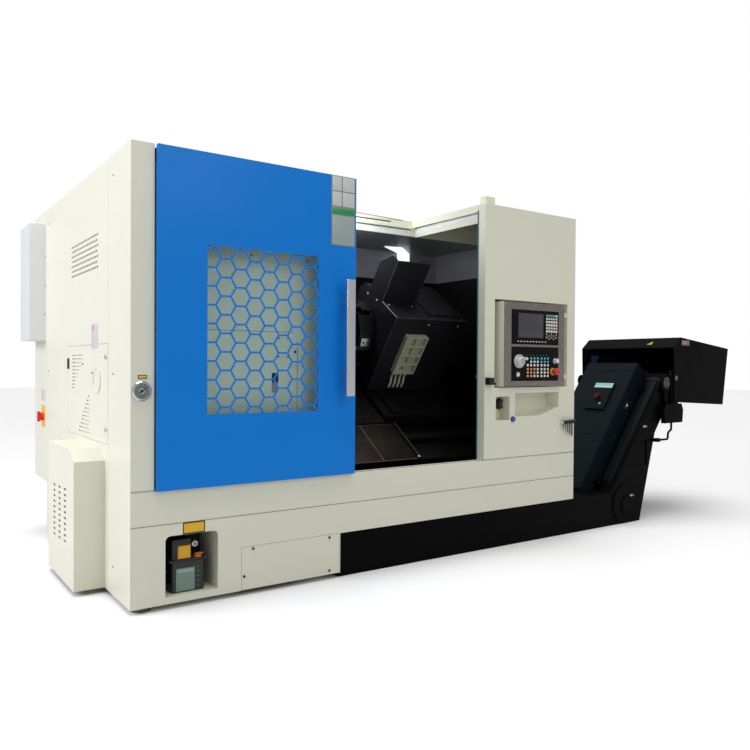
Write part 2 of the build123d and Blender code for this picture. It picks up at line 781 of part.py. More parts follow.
def honeycomb():
    """Hexagonal holes of the door window, clipped to its frame."""
    pitch_x = 1.5 * (hex_side + hex_bar / sqrt(3))
    pitch_z = sqrt(3) * (hex_side + hex_bar / sqrt(3))
    window = outline(pocket_points(window_x, window_z))
    columns = int((window_x[1] - window_x[0]) / pitch_x) + 2
    rows = int((window_z[1] - window_z[0]) / pitch_z) + 2
    cells = []
    for column in range(columns):
        shift = pitch_z / 2 if column % 2 else 0.0
        for row in range(-1, rows):
            x = window_x[0] + hex_side * 0.35 + column * pitch_x
            z = window_z[0] + pitch_z * 0.35 + row * pitch_z + shift
            near_x = window_x[0] - hex_side * 0.8 < x < window_x[1] + hex_side * 0.8
            near_z = window_z[0] - hex_side * 0.8 < z < window_z[1] + hex_side * 0.8
            if near_x and near_z:
                cells.append(Pos(x, z) * RegularPolygon(hex_side, 6))
    return Sketch() + cells & window


def door_panel():
    """The folded door sheet with its honeycomb window and the frame that holds the glass."""
    x = (door_left, door_left + door_width)
    z = (base_top + 2, opening_top)
    y = (-door_depth - 3, -3)
    body = tray(x, y, z, ("y1",), 2)
    cells = extrude(front(y[0] + 3) * honeycomb(), amount=5)
    body -= cells
    rail_top = base_top + 6 + run_gap
    shoe = block((x[0] + 60, x[1] - 60), (-3, 19), (rail_top, rail_top + 3))
    shoe += block((x[0] + 60, x[1] - 60), (-5, -3), (z[0], rail_top + 3))
    keeper = block((window_x[0] - 22, window_x[1] + 22), (y[0] + 8.6, y[0] + 11.6),
                   (window_z[0] - 22, window_z[1] + 22))
    keeper -= block((window_x[0] - 4, window_x[1] + 4), (y[0] + 8, y[0] + 14),
                    (window_z[0] - 4, window_z[1] + 4))
    studs = [
        block((a, a + 8), (y[0] + 1, y[0] + 10), (b, b + 8))
        for a in (window_x[0] - 22, window_x[1] + 14) for b in (window_z[0] - 22, window_z[1] + 14)
    ]
    return join([body, shoe, keeper] + studs)


def door_glass():
    """The clear pane behind the honeycomb."""
    y0 = -door_depth - 3 + 2 + run_gap
    return block((window_x[0] - 12, window_x[1] + 12), (y0, y0 + 6), (window_z[0] - 12, window_z[1] + 12))


def door_handle():
    """The long pull bar on its two stand-offs."""
    bar = block(handle_x, (-handle_reach, 22 - handle_reach), handle_z)
    bar = fillet(bar.edges().filter_by(Axis.Z), 8)
    feet = [
        block((handle_x[0] + 11, handle_x[1] - 12), (21 - handle_reach, -door_depth - 3), (z - 22, z + 22))
        for z in (handle_z[0] + 83, handle_z[1] - 87)
    ]
    return join([bar] + feet)


def door_roof_flap():
    """Roof part of the door, reaching back to the roller rail on the roof beam."""
    x = (door_left + 2, door_left + door_width - 2)
    low = opening_top - 12
    sheet_part = block(x, (-3, roof_beam_y - 28), (low, low + 3))
    lip = block(x, (-3, 0), (low - 20, low))
    rear = block(x, (roof_beam_y - 31, roof_beam_y - 28), (low - 34, low))
    rollers = [rod(front(roof_beam_y - 8), (place, height - 32.0), 12.7, 20) for place in (x[0] + 90, x[1] - 90)]
    pins = [rod(front(roof_beam_y - 24), (place, height - 32.0), 5, 8) for place in (x[0] + 90, x[1] - 90)]
    return join([sheet_part, lip, rear] + rollers + pins)


# Headstock and spindle

def headstock():
    """Cast housing of the spindle with its foot on the slanted bed."""
    c, n = spindle_along, spindle_level
    points = [
        (c - 190, bed_level), (c + 190, bed_level), (c + 190, bed_level + 45), (c + 140, bed_level + 90),
        (c + 140, n + 80), (c + 80, n + 140), (c - 80, n + 140), (c - 140, n + 80),
        (c - 140, bed_level + 90), (c - 190, bed_level + 45),
    ]
    left = bed_left - 20
    body = prism(slanted(left), points, liner_left - sheet - 6 - left)
    boss = rod(slanted(left - boss_length), (c, n), 110, boss_length + 2)
    bore = rod(slanted(left - 30), (c, n), shaft_radius + bore_clearance, 500)
    fins = [
        slab(slanted(left + 40 + 45 * index), (c - 160, c - 120), (bed_level + 100, n + 40), 12)
        for index in range(6)
    ]
    return join([body, boss] + fins) - bore


def spindle():
    """Hollow spindle with its flange nose, belt pulley and rear chuck cylinder."""
    place = (spindle_along, spindle_level)
    body = rod(slanted(380), place, shaft_radius, liner_left - 380)
    nose = rod(slanted(liner_left - 5), place, nose_radius, 27)
    pulley = rod(slanted(pulley_x - pulley_width / 2), place, spindle_pulley_radius, pulley_width)
    flange = rod(slanted(pulley_x - pulley_width / 2 - 5), place, spindle_pulley_radius + 8, 5)
    cylinder = rod(slanted(360), place, 92, 96)
    cylinder = chamfer(cylinder.edges().group_by(Axis.X)[0], 10)
    body = join([body, nose, pulley, flange, cylinder])
    grooves = [
        ring(slanted(pulley_x - 22 + 15 * index), place, spindle_pulley_radius + 1, spindle_pulley_radius - 6, 5)
        for index in range(4)
    ]
    bore = rod(slanted(300), place, bar_radius, 800)
    return cut(body, grooves + [bore])


def chuck():
    """Three-jaw power chuck body with its T-slots and bore."""
    place = (spindle_along, spindle_level)
    x0 = liner_left + 22
    body = rod(slanted(x0), place, chuck_radius, chuck_length)
    body = chamfer(body.edges().group_by(Axis.X)[0], 6)
    body -= rod(slanted(x0 - 1), place, bar_radius, chuck_length + 2)
    slots = []
    for index in range(3):
        turn = slanted(x0 + chuck_length - 26) * Pos(*place) * Rot(0, 0, 120 * index)
        slots.append(slab(turn, (-14, 14), (bar_radius - 8, chuck_radius + 5), 40))
        slots.append(slab(turn, (-21, 21), (bar_radius - 8, chuck_radius + 5), 12))
    return cut(body, slots)


def chuck_jaw(index):
    """A soft jaw on its T-nut, in one slot of the chuck."""
    x0 = liner_left + 22 + chuck_length
    turn = Pos(spindle_along, spindle_level) * Rot(0, 0, 120 * index)
    tongue = slab(slanted(x0 - 25.7) * turn, (-20.7, 20.7), (58, 118), 11.4)
    neck = slab(slanted(x0 - 15) * turn, (-13.7, 13.7), (58, 118), 15.5)
    steps = [(-18, 44), (18, 44), (18, 122), (-18, 122)]
    body = prism(slanted(x0 + 0.5) * turn, steps, 35)
    step = slab(slanted(x0 + 20) * turn, (-30, 30), (30, 62), 30)
    holes = [rod(slanted(x0 + 20) * turn, (0, level), 7, 30) for level in (76, 104)]
    return cut(join([tongue, neck, body]) - step, holes)


def spindle_motor():
    """Main motor on its foot plate, left of the bed."""
    x0, x1 = 80, 440
    size = 125
    body = block((x0, x1), (motor_y - size, motor_y + size), (motor_z - size, motor_z + size))
    body = chamfer(body.edges().filter_by(Axis.X), 22)
    cap = block((x1, x1 + 20), (motor_y - size - 8, motor_y + size + 8), (motor_z - size - 8, motor_z + size + 8))
    low = motor_z - size - 20
    foot = block((x0 + 40, bed_left), (motor_y - size, motor_y + size), (low, low + 20.5))
    rib = block((bed_left - 20, bed_left), (motor_y - size, motor_y + size), (low - 60, low))
    bore = rod(side(x1 - 40), (motor_y, motor_z), 24 + bore_clearance, 100)
    return join([body, cap, foot, rib]) - bore


def motor_pulley():
    """Drive pulley on the motor shaft."""
    place = (motor_y, motor_z)
    half = pulley_width / 2
    body = rod(side(pulley_x - half), place, motor_pulley_radius, pulley_width)
    rim = rod(side(pulley_x + half), place, motor_pulley_radius + 8, 5)
    shaft = rod(side(440 - 30), place, 24, pulley_x - half - 410 + 2)
    grooves = [
        ring(side(pulley_x - 22 + 15 * index), place, motor_pulley_radius + 1, motor_pulley_radius - 6, 5)
        for index in range(4)
    ]
    return cut(join([body, rim, shaft]), grooves)


def belt_loop(grow):
    """Outline of a belt round both pulleys, grown outwards from their rims."""
    big = spindle_pulley_radius + grow
    small = motor_pulley_radius + grow
    dy, dz = motor_y - SPINDLE_Y, motor_z - SPINDLE_Z
    distance = hypot(dy, dz)
    heading = atan2(dz, dy)
    spread = acos((big - small) / distance)
    angles = (heading + spread, heading - spread)
    shape = []
    for angle in angles:
        shape.append((SPINDLE_Y + big * cos(angle), SPINDLE_Z + big * sin(angle)))
        shape.append((motor_y + small * cos(angle), motor_z + small * sin(angle)))
    quad = outline([shape[0], shape[1], shape[3], shape[2]])
    return quad + Pos(SPINDLE_Y, SPINDLE_Z) * Circle(big) + Pos(motor_y, motor_z) * Circle(small)


def drive_belt():
    """The ribbed belt from the motor to the spindle."""
    band = belt_loop(9) - belt_loop(run_gap)
    return extrude(side(pulley_x - pulley_width / 2 + 3) * band, amount=pulley_width - 6)


# Way covers, carriage and turret

segment_length = 350.0
cover_along = (721.0, 1393.0)
cover_step = sheet + run_gap


def cover_segment(x0, steps):
    """A way cover with its folded front edge, nested outside the fixed one by some steps."""
    level = cover_level + steps * cover_step
    lead = cover_along[0] + (2 - steps) * (sheet + 1)
    body = slab(slanted(x0), (lead, cover_along[1] + steps), (level - sheet, level), segment_length)
    lip = slab(slanted(x0), (lead, lead + sheet), (level - 22, level), segment_length)
    return body + lip


def way_covers():
    """Fixed covers: the lower apron plates with their wiper bar and the first sliding segment."""
    span = apron_right - liner_left
    length = span / 3
    start = slanted(liner_left)
    apron = []
    for index in range(3):
        level = cover_level - 2.0 * (2 - index)
        lap = 12 if index else 0
        x0 = liner_left + index * length - lap
        apron.append(slab(slanted(x0), apron_along, (level - sheet, level), length + lap))
    apron.append(slab(start, (apron_along[0], apron_along[0] + sheet), (bed_level, cover_level - 4), span))
    apron.append(slab(start, (apron_along[1] - 14, apron_along[1]), (bed_level, cover_level - 4), span))
    apron.append(slab(slanted(apron_right - 15), apron_along, (cover_level - sheet, cover_level + 10), 15))
    lead = cover_along[0] + 2 * (sheet + 1)
    link = slab(start, (apron_along[1] - 2, lead + sheet), (cover_level - 28, cover_level - 25), segment_length)
    stay = slab(start, (lead, lead + sheet), (cover_level - 28, cover_level), segment_length)
    return join(apron + [cover_segment(liner_left, 0), link, stay])


apron_along = (421.0, 714.0)


def way_cover_mid():
    """The middle sliding segment."""
    end_left = carriage_x[0] - segment_length
    x0 = liner_left + (end_left - liner_left) / 2
    return cover_segment(x0, 1)


def carriage():
    """Saddle on the bed rails, with cross guideways and the last way cover."""
    x = carriage_x
    low = bed_level + rail_height + run_gap
    seat = housing_level[0] - run_gap
    plate_part = slab(slanted(x[0]), (740, 1398), (low + 4, seat - 14), x[1] - x[0])
    blocks = []
    for along in carriage_rails:
        for x0 in (x[0] + 20, x[1] - 140):
            shoe = slab(slanted(x0), (along - 48, along + 48), (bed_level + 8, low + 8), 120)
            half = rail_width / 2 + run_gap
            slot = slab(slanted(x0 - 1), (along - half, along + half), (bed_level, low), 122)
            blocks.append(shoe - slot)
    ways = [
        slab(slanted(x[0] + offset), (760, 1396), (seat - 18, seat), 70)
        for offset in (60, x[1] - x[0] - 130)
    ]
    cover = cover_segment(x[0] - segment_length, 2)
    return join([plate_part, cover] + blocks + ways)


def turret_housing():
    """Cross slide and turret housing with the open-topped cover above it."""
    x = carriage_x
    body = slab(slanted(x[0]), housing_along, housing_level, x[1] - x[0])
    body = chamfer(body.edges().filter_by(Axis.X).group_by(Axis.Z)[-1], 40)
    neck = rod(slanted(turret_x[1] + run_gap), (turret_along, turret_level), 120, x[0] - turret_x[1])
    bore = rod(slanted(turret_x[1] - 5), (turret_along, turret_level), 60 + bore_clearance, 120)
    cover_x = (x[0], x[0] + 233)
    a0, a1 = 1144.0, 1296.0
    n0, n1 = housing_level[1] - 26, 1108.0
    outer = [(a0, n0), (a1, n0), (a1, n1), (a0, n1)]
    inner = [(a0 + 3, n0 + 3), (a1 - 3, n0 + 3), (a1 - 3, n1 + 5), (a0 + 3, n1 + 5)]
    duct = prism(slanted(cover_x[0]), outer, cover_x[1] - cover_x[0])
    duct -= prism(slanted(cover_x[0] + 3), inner, cover_x[1] - cover_x[0] - 6)
    corner = [(a1 + 1, n1 + 1), (a1 + 1, n1 - 90), (a1 - 90, n1 + 1)]
    duct -= prism(slanted(cover_x[0] - 1), corner, cover_x[1] - cover_x[0] + 2)
    lip = slab(slanted(x[0] + 250), (housing_along[0] + 40, housing_along[1] - 40),
               (housing_level[1] - 1, housing_level[1] + 8), x[1] - x[0] - 270)
    hollow = slab(slanted(x[0] + 30), (housing_along[0] + 30, housing_along[1] - 30),
                  (housing_level[0] - 1, housing_level[1] - 40), x[1] - x[0] - 60)
    return join([body, neck, duct, lip]) - bore - hollow


def turret_disc():
    """Twelve-station turret disc on its shaft."""
    place = (turret_along, turret_level)
    face = RegularPolygon(turret_radius, tool_stations)
    body = extrude(slanted(turret_x[0]) * Pos(*place) * face, amount=turret_x[1] - turret_x[0])
    boss = rod(slanted(turret_x[0] - 24), place, 70, 25)
    shaft = rod(slanted(turret_x[1] - 1), place, 60, 105)
    body = join([body, boss, shaft])
    bores = []
    for index in range(tool_stations):
        turn = slanted(turret_x[0] - 1) * Pos(*place) * Rot(0, 0, 360 / tool_stations * (index + 0.5))
        bores.append(rod(turn, (0, turret_radius * 0.72), 16, 60))
    return cut(body, bores)


def tool_holders():
    """Turning tool blocks and boring bars on every second station."""
    place = (turret_along, turret_level)
    flat = turret_radius * cos(pi / tool_stations)
    holders = []
    for index in range(0, tool_stations, 2):
        turn = Pos(*place) * Rot(0, 0, 360 / tool_stations * (index + 0.5))
        if index % 4 == 0:
            base = slab(slanted(turret_x[0] + 14) * turn, (-36, 36), (flat + run_gap, flat + 26), 70)
            shank = slab(slanted(turret_x[0] - 38) * turn, (-12, 12), (flat + 2, flat + 26), 60)
            tip = slab(slanted(turret_x[0] - 44) * turn, (-12, 12), (flat + 14, flat + 34), 10)
            holders.append(join([base, shank, tip]))
        else:
            centre = (0, turret_radius * 0.72)
            body = rod(slanted(turret_x[0] - 34) * turn, centre, 30, 34 - run_gap)
            bar = rod(slanted(turret_x[0] - 58) * turn, centre, 13, 26)
            shank = rod(slanted(turret_x[0] - 1) * turn, centre, 15.7, 50)
            holders.append(join([body, bar, shank]))
    return Compound(children=holders)


block_x = (1645.0, 1798.0)


def coolant_block():
    """Ribbed coolant manifold on the housing's front, with its four bent tubes."""
    a1 = housing_along[0] - run_gap
    a0 = a1 - 32
    levels = (486.0, 744.0)
    plane = Plane(origin=(0, 0, 0), x_dir=(1, 0, 0), z_dir=(0, -COS, -SIN))
    face = plane.offset(-a1)
    body = extrude(face * outline([(block_x[0], levels[0]), (block_x[1], levels[0]),
                                   (block_x[1], levels[1]), (block_x[0], levels[1])]), amount=a1 - a0)
    body = fillet(body.edges().group_by(SortBy.LENGTH)[0], 8)
    tools = []
    columns, rows = 2, 4
    wide = (block_x[1] - block_x[0] - 3 * 9) / columns
    tall = (levels[1] - levels[0] - 5 * 9) / rows
    for column in range(columns):
        for row in range(rows):
            x = block_x[0] + 9 + column * (wide + 9)
            n = levels[0] + 9 + row * (tall + 9)
            if row or column:
                tools.append(extrude(plane.offset(-a0 - 24) * outline(
                    [(x, n), (x + wide, n), (x + wide, n + tall), (x, n + tall)]), amount=30))
    tools.append(rod(plane.offset(-a0 - 22), (block_x[0] + 45, levels[0] + 40), 18, 30))
    body = cut(body, tools)
    tubes = []
    for index in range(4):
        x = block_x[0] + 18 + index * 30
        points = [(a1 - 12, levels[0] + 2), (a1 - 12, levels[0] - 34), (a1 - 24, levels[0] - 62), (a1 - 24, levels[0] - 96)]
        path = slanted(x) * FilletPolyline(*points, radius=24)
        start = Plane(origin=path @ 0, z_dir=path % 0)
        tubes.append(sweep(start * Circle(7), path=path))
    return join([body] + tubes)


# Tailstock

def tailstock():
    """Tailstock body with its foot on the lower rails and a barrel on the spindle line."""
    c, n = spindle_along, spindle_level
    x = tail_x
    low = bed_level + tail_rail_height + run_gap
    points = [
        (430, low), (686, low), (686, low + 95), (c + 50, n - 60), (c + tail_barrel_radius, n - 20),
        (c + tail_barrel_radius, n + 40), (c + 50, n + 100), (c - 60, n + 110),
        (c - 110, n + 60), (c - 115, n - 60), (560, low + 110), (430, low + 70),
    ]
    body = prism(slanted(x[0]), points, x[1] - x[0])
    barrel = rod(slanted(x[0] - 30), (c, n), tail_barrel_radius, x[1] - x[0] + 30)
    bore = rod(slanted(x[0] - 40), (c, n), quill_radius + bore_clearance, 240)
    keys = []
    for along in tail_rails:
        for sign in (-1, 1):
            centre = along + sign * (rail_width / 2 + 10 + run_gap)
            key = slab(slanted(x[0] + 20), (centre - 10, centre + 10), (bed_level + 8, low + 1), tail_length - 40)
            keys.append(key)
    pocket = slab(slanted(x[0] + 40), (520, 640), (low + 130, low + 260), x[1] - x[0] - 80)
    return join([body, barrel] + keys) - bore - pocket


def quill():
    """Sliding quill with its taper bore."""
    place = (spindle_along, spindle_level)
    x0 = tail_x[0] - 60
    body = rod(slanted(x0), place, quill_radius, 250)
    body = chamfer(body.edges().group_by(Axis.X)[0], 4)
    return body - rod(slanted(x0 - 1), place, 18 + bore_clearance, 90)


def live_centre():
    """Live centre: a shank in the quill, a bearing head and a 60 degree point."""
    place = (spindle_along, spindle_level)
    x0 = tail_x[0] - 60
    shank = rod(slanted(x0 - 1), place, 18, 86)
    head = rod(slanted(x0 - 50), place, 32, 49.5)
    tip_plane = slanted(x0 - 50) * Pos(*place)
    tip = extrude(tip_plane * Circle(24), amount=-40, taper=30)
    return join([shank, head, tip])


# Chip conveyor

UX, UZ = cos(radians(incline)), sin(radians(incline))


def on_incline(along, rise):
    """(X, Z) of a place given along the incline and above its side strip."""
    return (strip_foot[0] + along * UX - rise * UZ, strip_foot[1] + along * UZ + rise * UX)


HEAD_X, HEAD_Z = on_incline(head_along, -head_drop)
casing_end = 962.0
conveyor_floor = -foot_height
bend_along = (trough_top - strip_foot[1]) / UZ
cover_y = (150.0, 565.0)
cover_start = -43.0
hood_y = (-30.0, 745.0)
FOOT_X = strip_foot[0]
hood_points = [
    (FOOT_X + 690.0, 1195.0), (FOOT_X + 1280.0, 1127.0), (FOOT_X + 1219.0, 722.0),
    (FOOT_X + 623.0, 753.0), (FOOT_X + 610.0, 1126.0),
]
control_along = (558.0, 775.0)
control_box_y = (245.0, 404.0)
control_rise = 16.0


def incline_points(along, rise):
    """Corners of a box seen from the front, given along the incline and above its strip."""
    return [
        on_incline(along[0], rise[0]), on_incline(along[1], rise[0]),
        on_incline(along[1], rise[1]), on_incline(along[0], rise[1]),
    ]


def incline_box(along, y, rise):
    return prism(front(y[1]), incline_points(along, rise), y[1] - y[0])


def conveyor_body():
    """Welded trough and rising casing, with its lid, stand plates and bend covers."""
    y0, y1 = trough_y
    floor = conveyor_floor
    outer = [
        (trough_left, floor), (FOOT_X + 228, floor), on_incline(180, -casing_drop),
        on_incline(casing_end, -casing_drop), on_incline(casing_end, 0), on_incline(bend_along, 0),
        (trough_left, trough_top),
    ]
    inner = [
        (trough_left + plate, floor + plate), (FOOT_X + 226, floor + plate), on_incline(180, plate - casing_drop),
        on_incline(casing_end + 5, plate - casing_drop), on_incline(casing_end + 5, 20),
        on_incline(bend_along, 20), (trough_left + plate, trough_top + 20),
    ]
    body = prism(front(y1), outer, y1 - y0) - prism(front(y1 - plate), inner, y1 - y0 - 2 * plate)
    stand = [
        (FOOT_X + 158, floor), (FOOT_X + 306, floor), (FOOT_X + 487, 630.0), on_incline(720, -casing_drop),
        on_incline(720, -4), on_incline(30, -4),
    ]
    window = [(FOOT_X + 263, 510.0), (FOOT_X + 375, 506.0), (FOOT_X + 383, 340.0), (FOOT_X + 138, 342.0)]
    stands = [prism(front(y), stand, 10) for y in (y0 + 10, y1)]
    recess = prism(front(y0 + 6), window, 7)
    bend = (FOOT_X + 153, 108.0)
    rounds = [rod(front(y0), bend, 125, 7), rod(front(y1 + 7), bend, 125, 8)]
    rounds.append(rod(front(y0 - 7), (bend[0] + 20, bend[1] - 14), 66, 5))
    strips = [incline_box((bend_along - 6, casing_end), y, (-3, 0.5))
              for y in ((y0, cover_y[0]), (cover_y[1], y1))]
    lid = block((width + 4, on_incline(bend_along, 0)[0]), (y0, y1), (trough_top - 3, trough_top + 1))
    lid -= block((on_incline(cover_start, cover_rise)[0] + 4, strip_foot[0] + 100), (cover_y[0] + 2, cover_y[1] - 2),
                 (trough_top - 10, trough_top + 10))
    clamps = [incline_box((along, along + 34), (y0 + 90, y0 + 126), (0, 14)) for along in (62, 800)]
    bearings = [rod(front(y), (HEAD_X, HEAD_Z), 42, 12) for y in (y0, y1 + 12)]
    hangers = [
        block((FOOT_X + 623, FOOT_X + 658), y, (815, 860))
        for y in ((hood_y[0] + plate, y0), (y1, hood_y[1] - plate))
    ]
    body = join([body] + stands + rounds + strips + clamps + bearings + hangers + [lid])
    return cut(body, [recess, rod(front(y1 + 20), (HEAD_X, HEAD_Z), 30 + bore_clearance, y1 - y0 + 40)])


def conveyor_cover():
    """Raised cover over the rising belt, with its panel seams and switch plate."""
    start = on_incline(cover_start, cover_rise)
    foot = trough_top + 1 + run_gap
    end = casing_end - 4
    fold_along = (foot - strip_foot[1]) / UZ
    outer = [
        (start[0], foot), on_incline(fold_along, 0.5 + run_gap), on_incline(end, 0.5 + run_gap),
        on_incline(end, cover_rise), start,
    ]
    inner = [
        (start[0] + 3, foot - 30), on_incline(fold_along, -30), on_incline(end + 20, -30),
        on_incline(end + 20, cover_rise - 3), on_incline(cover_start + 5, cover_rise - 3),
    ]
    body = prism(front(cover_y[1]), outer, cover_y[1] - cover_y[0])
    body -= prism(front(cover_y[1] - 3), inner, cover_y[1] - cover_y[0] - 6)
    rise = (cover_rise - 1, cover_rise + 1.5)
    seams = [incline_box((along, along + 6), cover_y, rise) for along in (362, 893)]
    box = incline_box(control_along, control_box_y, (cover_rise - 1, cover_rise + control_rise))
    gap = rod(front(cover_y[1] + 1), (HEAD_X, HEAD_Z), 33, cover_y[1] - cover_y[0] + 2)
    well = extrude(stop_plane() * Circle(11.3), amount=-15)
    return cut(join([body, box] + seams), [gap, well])


def stop_plane():
    """Plane on the conveyor's switch plate, facing away from the cover."""
    x, z = on_incline(654, cover_rise + control_rise)
    return Plane(origin=(x, 331, z), x_dir=(0, 1, 0), z_dir=(-UZ, 0, UX))


def conveyor_stop_button():
    """Red stop button on the conveyor's switch plate."""
    face = stop_plane().offset(run_gap)
    head = extrude(face.offset(8) * Circle(20), amount=12)
    return head + extrude(face * Circle(11), amount=9)


def conveyor_hood():
    """Discharge hood at the top of the conveyor, open towards the machine and below."""
    top_left, top_right, low_right, low_left, corner = hood_points
    inner = [
        (top_left[0] + 2, top_left[1] - plate), (top_right[0] - plate, top_right[1] - plate),
        (low_right[0] - plate, low_right[1] - 60), (low_left[0] - 90, low_left[1] - 60),
        (corner[0] - 90, corner[1] - 90 * tan(radians(40)) - plate),
    ]
    span = hood_y[1] - hood_y[0]
    body = prism(front(hood_y[1]), hood_points, span)
    body -= prism(front(hood_y[1] - plate), inner, span - 2 * plate)
    lips = [
        prism(front(y + 14), [(low_left[0] + 2, low_left[1] + 1), low_right, (low_right[0], low_right[1] + plate),
                              (low_left[0] + 2, low_left[1] + plate + 1)], 14)
        for y in (hood_y[0], hood_y[1] - 14)
    ]
    return join([body] + lips)


def conveyor_gearmotor():
    """Drive unit under the hood with its chain guard and cable conduit."""
    face = trough_y[0] - 12 - run_gap
    left = FOOT_X + 510
    box = [
        (left + 6, 612.0), (left + 208, 614.0), (left + 216, 700.0), (left + 196, 742.0),
        (left + 28, 742.0), (left, 700.0),
    ]
    housing = prism(front(face), box, 30)
    guard = [(HEAD_X - 44, HEAD_Z), (HEAD_X + 44, HEAD_Z), (left + 128, 735.0), (left + 48, 735.0)]
    chain = prism(front(face), guard, 9)
    chain += rod(front(face), (HEAD_X, HEAD_Z), 44, 9)
    chain -= rod(front(face + 1), (HEAD_X, HEAD_Z), 30 + run_gap, 12)
    mount = block((left + 58, left + 128), (face - 1, trough_y[0] - run_gap), (640.0, 700.0))
    y = face - 10
    points = [
        (left + 108, 613.0), (left + 108, 566.0), (left + 74, 548.0), (left + 68, 502.0), (left - 29, 502.0),
    ]
    path = front(y) * FilletPolyline(*points, radius=14)
    conduit = sweep(Plane(origin=path @ 0, z_dir=path % 0) * Circle(7), path=path)
    gland = block((left - 62, left - 28), (y - 10, trough_y[0] - run_gap), (490.0, 514.0))
    return join([housing, chain, mount, conduit, gland])


def conveyor_shaft():
    """Head shaft with its belt sprockets."""
    y0, y1 = trough_y
    shaft = rod(front(y1 + 12), (HEAD_X, HEAD_Z), 30, y1 - y0 + 34)
    wheels = []
    for y in (cover_y[0] + 60, sum(cover_y) / 2 + 12, cover_y[1] - 36):
        wheel = rod(front(y), (HEAD_X, HEAD_Z), belt_radius - run_gap, 24)
        notches = [
            rod(front(y + 1), (HEAD_X + 70 * cos(radians(a)), HEAD_Z + 70 * sin(radians(a))), 14, 26)
            for a in range(0, 360, 45)
        ]
        wheels.append(cut(wheel, notches))
    return join([shaft] + wheels)


def belt_run(grow):
    """Side view of the belt loop, grown outwards from its sprockets."""
    radius = belt_radius + grow
    tail = (trough_left + 100.0, conveyor_floor + plate + 1 + belt_radius + belt_thickness)
    upper, lower = tail[1] + radius, tail[1] - radius
    high = on_incline(0, radius - head_drop)
    bend = on_incline((upper - high[1]) / UZ, radius - head_drop)
    loop = outline([
        (tail[0], lower), (strip_foot[0] + 110, lower), on_incline(190, -radius - head_drop),
        on_incline(head_along, -radius - head_drop), on_incline(head_along, radius - head_drop),
        bend, (tail[0], upper),
    ])
    return loop + Pos(*tail) * Circle(radius) + Pos(HEAD_X, HEAD_Z) * Circle(radius)


def conveyor_belt():
    """The hinged steel belt: a closed band round its sprockets."""
    y = (cover_y[0] + 7, cover_y[1] - 7)
    return extrude(front(y[1]) * (belt_run(belt_thickness) - belt_run(0)), amount=y[1] - y[0])


parts = {
    "bed": bed,
    "levelling_feet": levelling_feet,
    "front_base": front_base,
    "access_cover": access_cover,
    "lubricator_tank": lubricator_tank,
    "lubricator_pump": lubricator_pump,
    "left_column": left_column,
    "pressure_gauge": pressure_gauge,
    "gauge_needle": gauge_needle,
    "left_side_panel": left_side_panel,
    "belt_cover_door": belt_cover_door,
    "pump_cover": pump_cover,
    "electrical_cabinet": electrical_cabinet,
    "cabinet_cooler": cabinet_cooler,
    "main_switch_knob": main_switch_knob,
    "headstock_cover": headstock_cover,
    "rear_wall": rear_wall,
    "roof": roof,
    "right_side_panel": right_side_panel,
    "right_cabinet": right_cabinet,
    "hex_keys": hex_keys,
    "control_box": control_box,
    "display_unit": display_unit,
    "operator_panel": operator_panel,
    "handwheel": handwheel,
    "override_knob": override_knob,
    "estop_button": estop_button,
    "cycle_button": cycle_button,
    "blue_button": blue_button,
    "rear_panel": rear_panel,
    "door_panel": door_panel,
    "door_glass": door_glass,
    "door_handle": door_handle,
    "door_roof_flap": door_roof_flap,
    "headstock": headstock,
    "spindle": spindle,
    "chuck": chuck,
    "chuck_jaw_1": lambda: chuck_jaw(0),
    "chuck_jaw_2": lambda: chuck_jaw(1),
    "chuck_jaw_3": lambda: chuck_jaw(2),
    "spindle_motor": spindle_motor,
    "motor_pulley": motor_pulley,
    "drive_belt": drive_belt,
    "way_covers": way_covers,
    "way_cover_mid": way_cover_mid,
    "carriage": carriage,
    "turret_housing": turret_housing,
    "turret_disc": turret_disc,
    "tool_holders": tool_holders,
    "coolant_block": coolant_block,
    "tailstock": tailstock,
    "quill": quill,
    "live_centre": live_centre,
    "conveyor_body": conveyor_body,
    "conveyor_cover": conveyor_cover,
    "conveyor_stop_button": conveyor_stop_button,
    "conveyor_hood": conveyor_hood,
    "conveyor_gearmotor": conveyor_gearmotor,
    "conveyor_shaft": conveyor_shaft,
    "conveyor_belt": conveyor_belt,
}


def main():
    os.makedirs("parts", exist_ok=True)
    shapes = {name: build() for name, build in parts.items()}
    boxes = [shape.bounding_box() for shape in shapes.values()]
    low = [min(getattr(box.min, axis) for box in boxes) for axis in "XYZ"]
    high = [max(getattr(box.max, axis) for box in boxes) for axis in "XYZ"]
    origin = ((low[0] + high[0]) / 2, (low[1] + high[1]) / 2, low[2])
    for name, shape in shapes.items():
        export_step(Pos(-origin[0], -origin[1], -origin[2]) * shape, f"parts/{name}.step")
    print("origin", [round(value, 3) for value in origin])
    print("size", [round(b - a, 2) for a, b in zip(low, high)])


main()
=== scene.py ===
"""Finishes, small fittings and studio for the slant-bed turning lathe."""

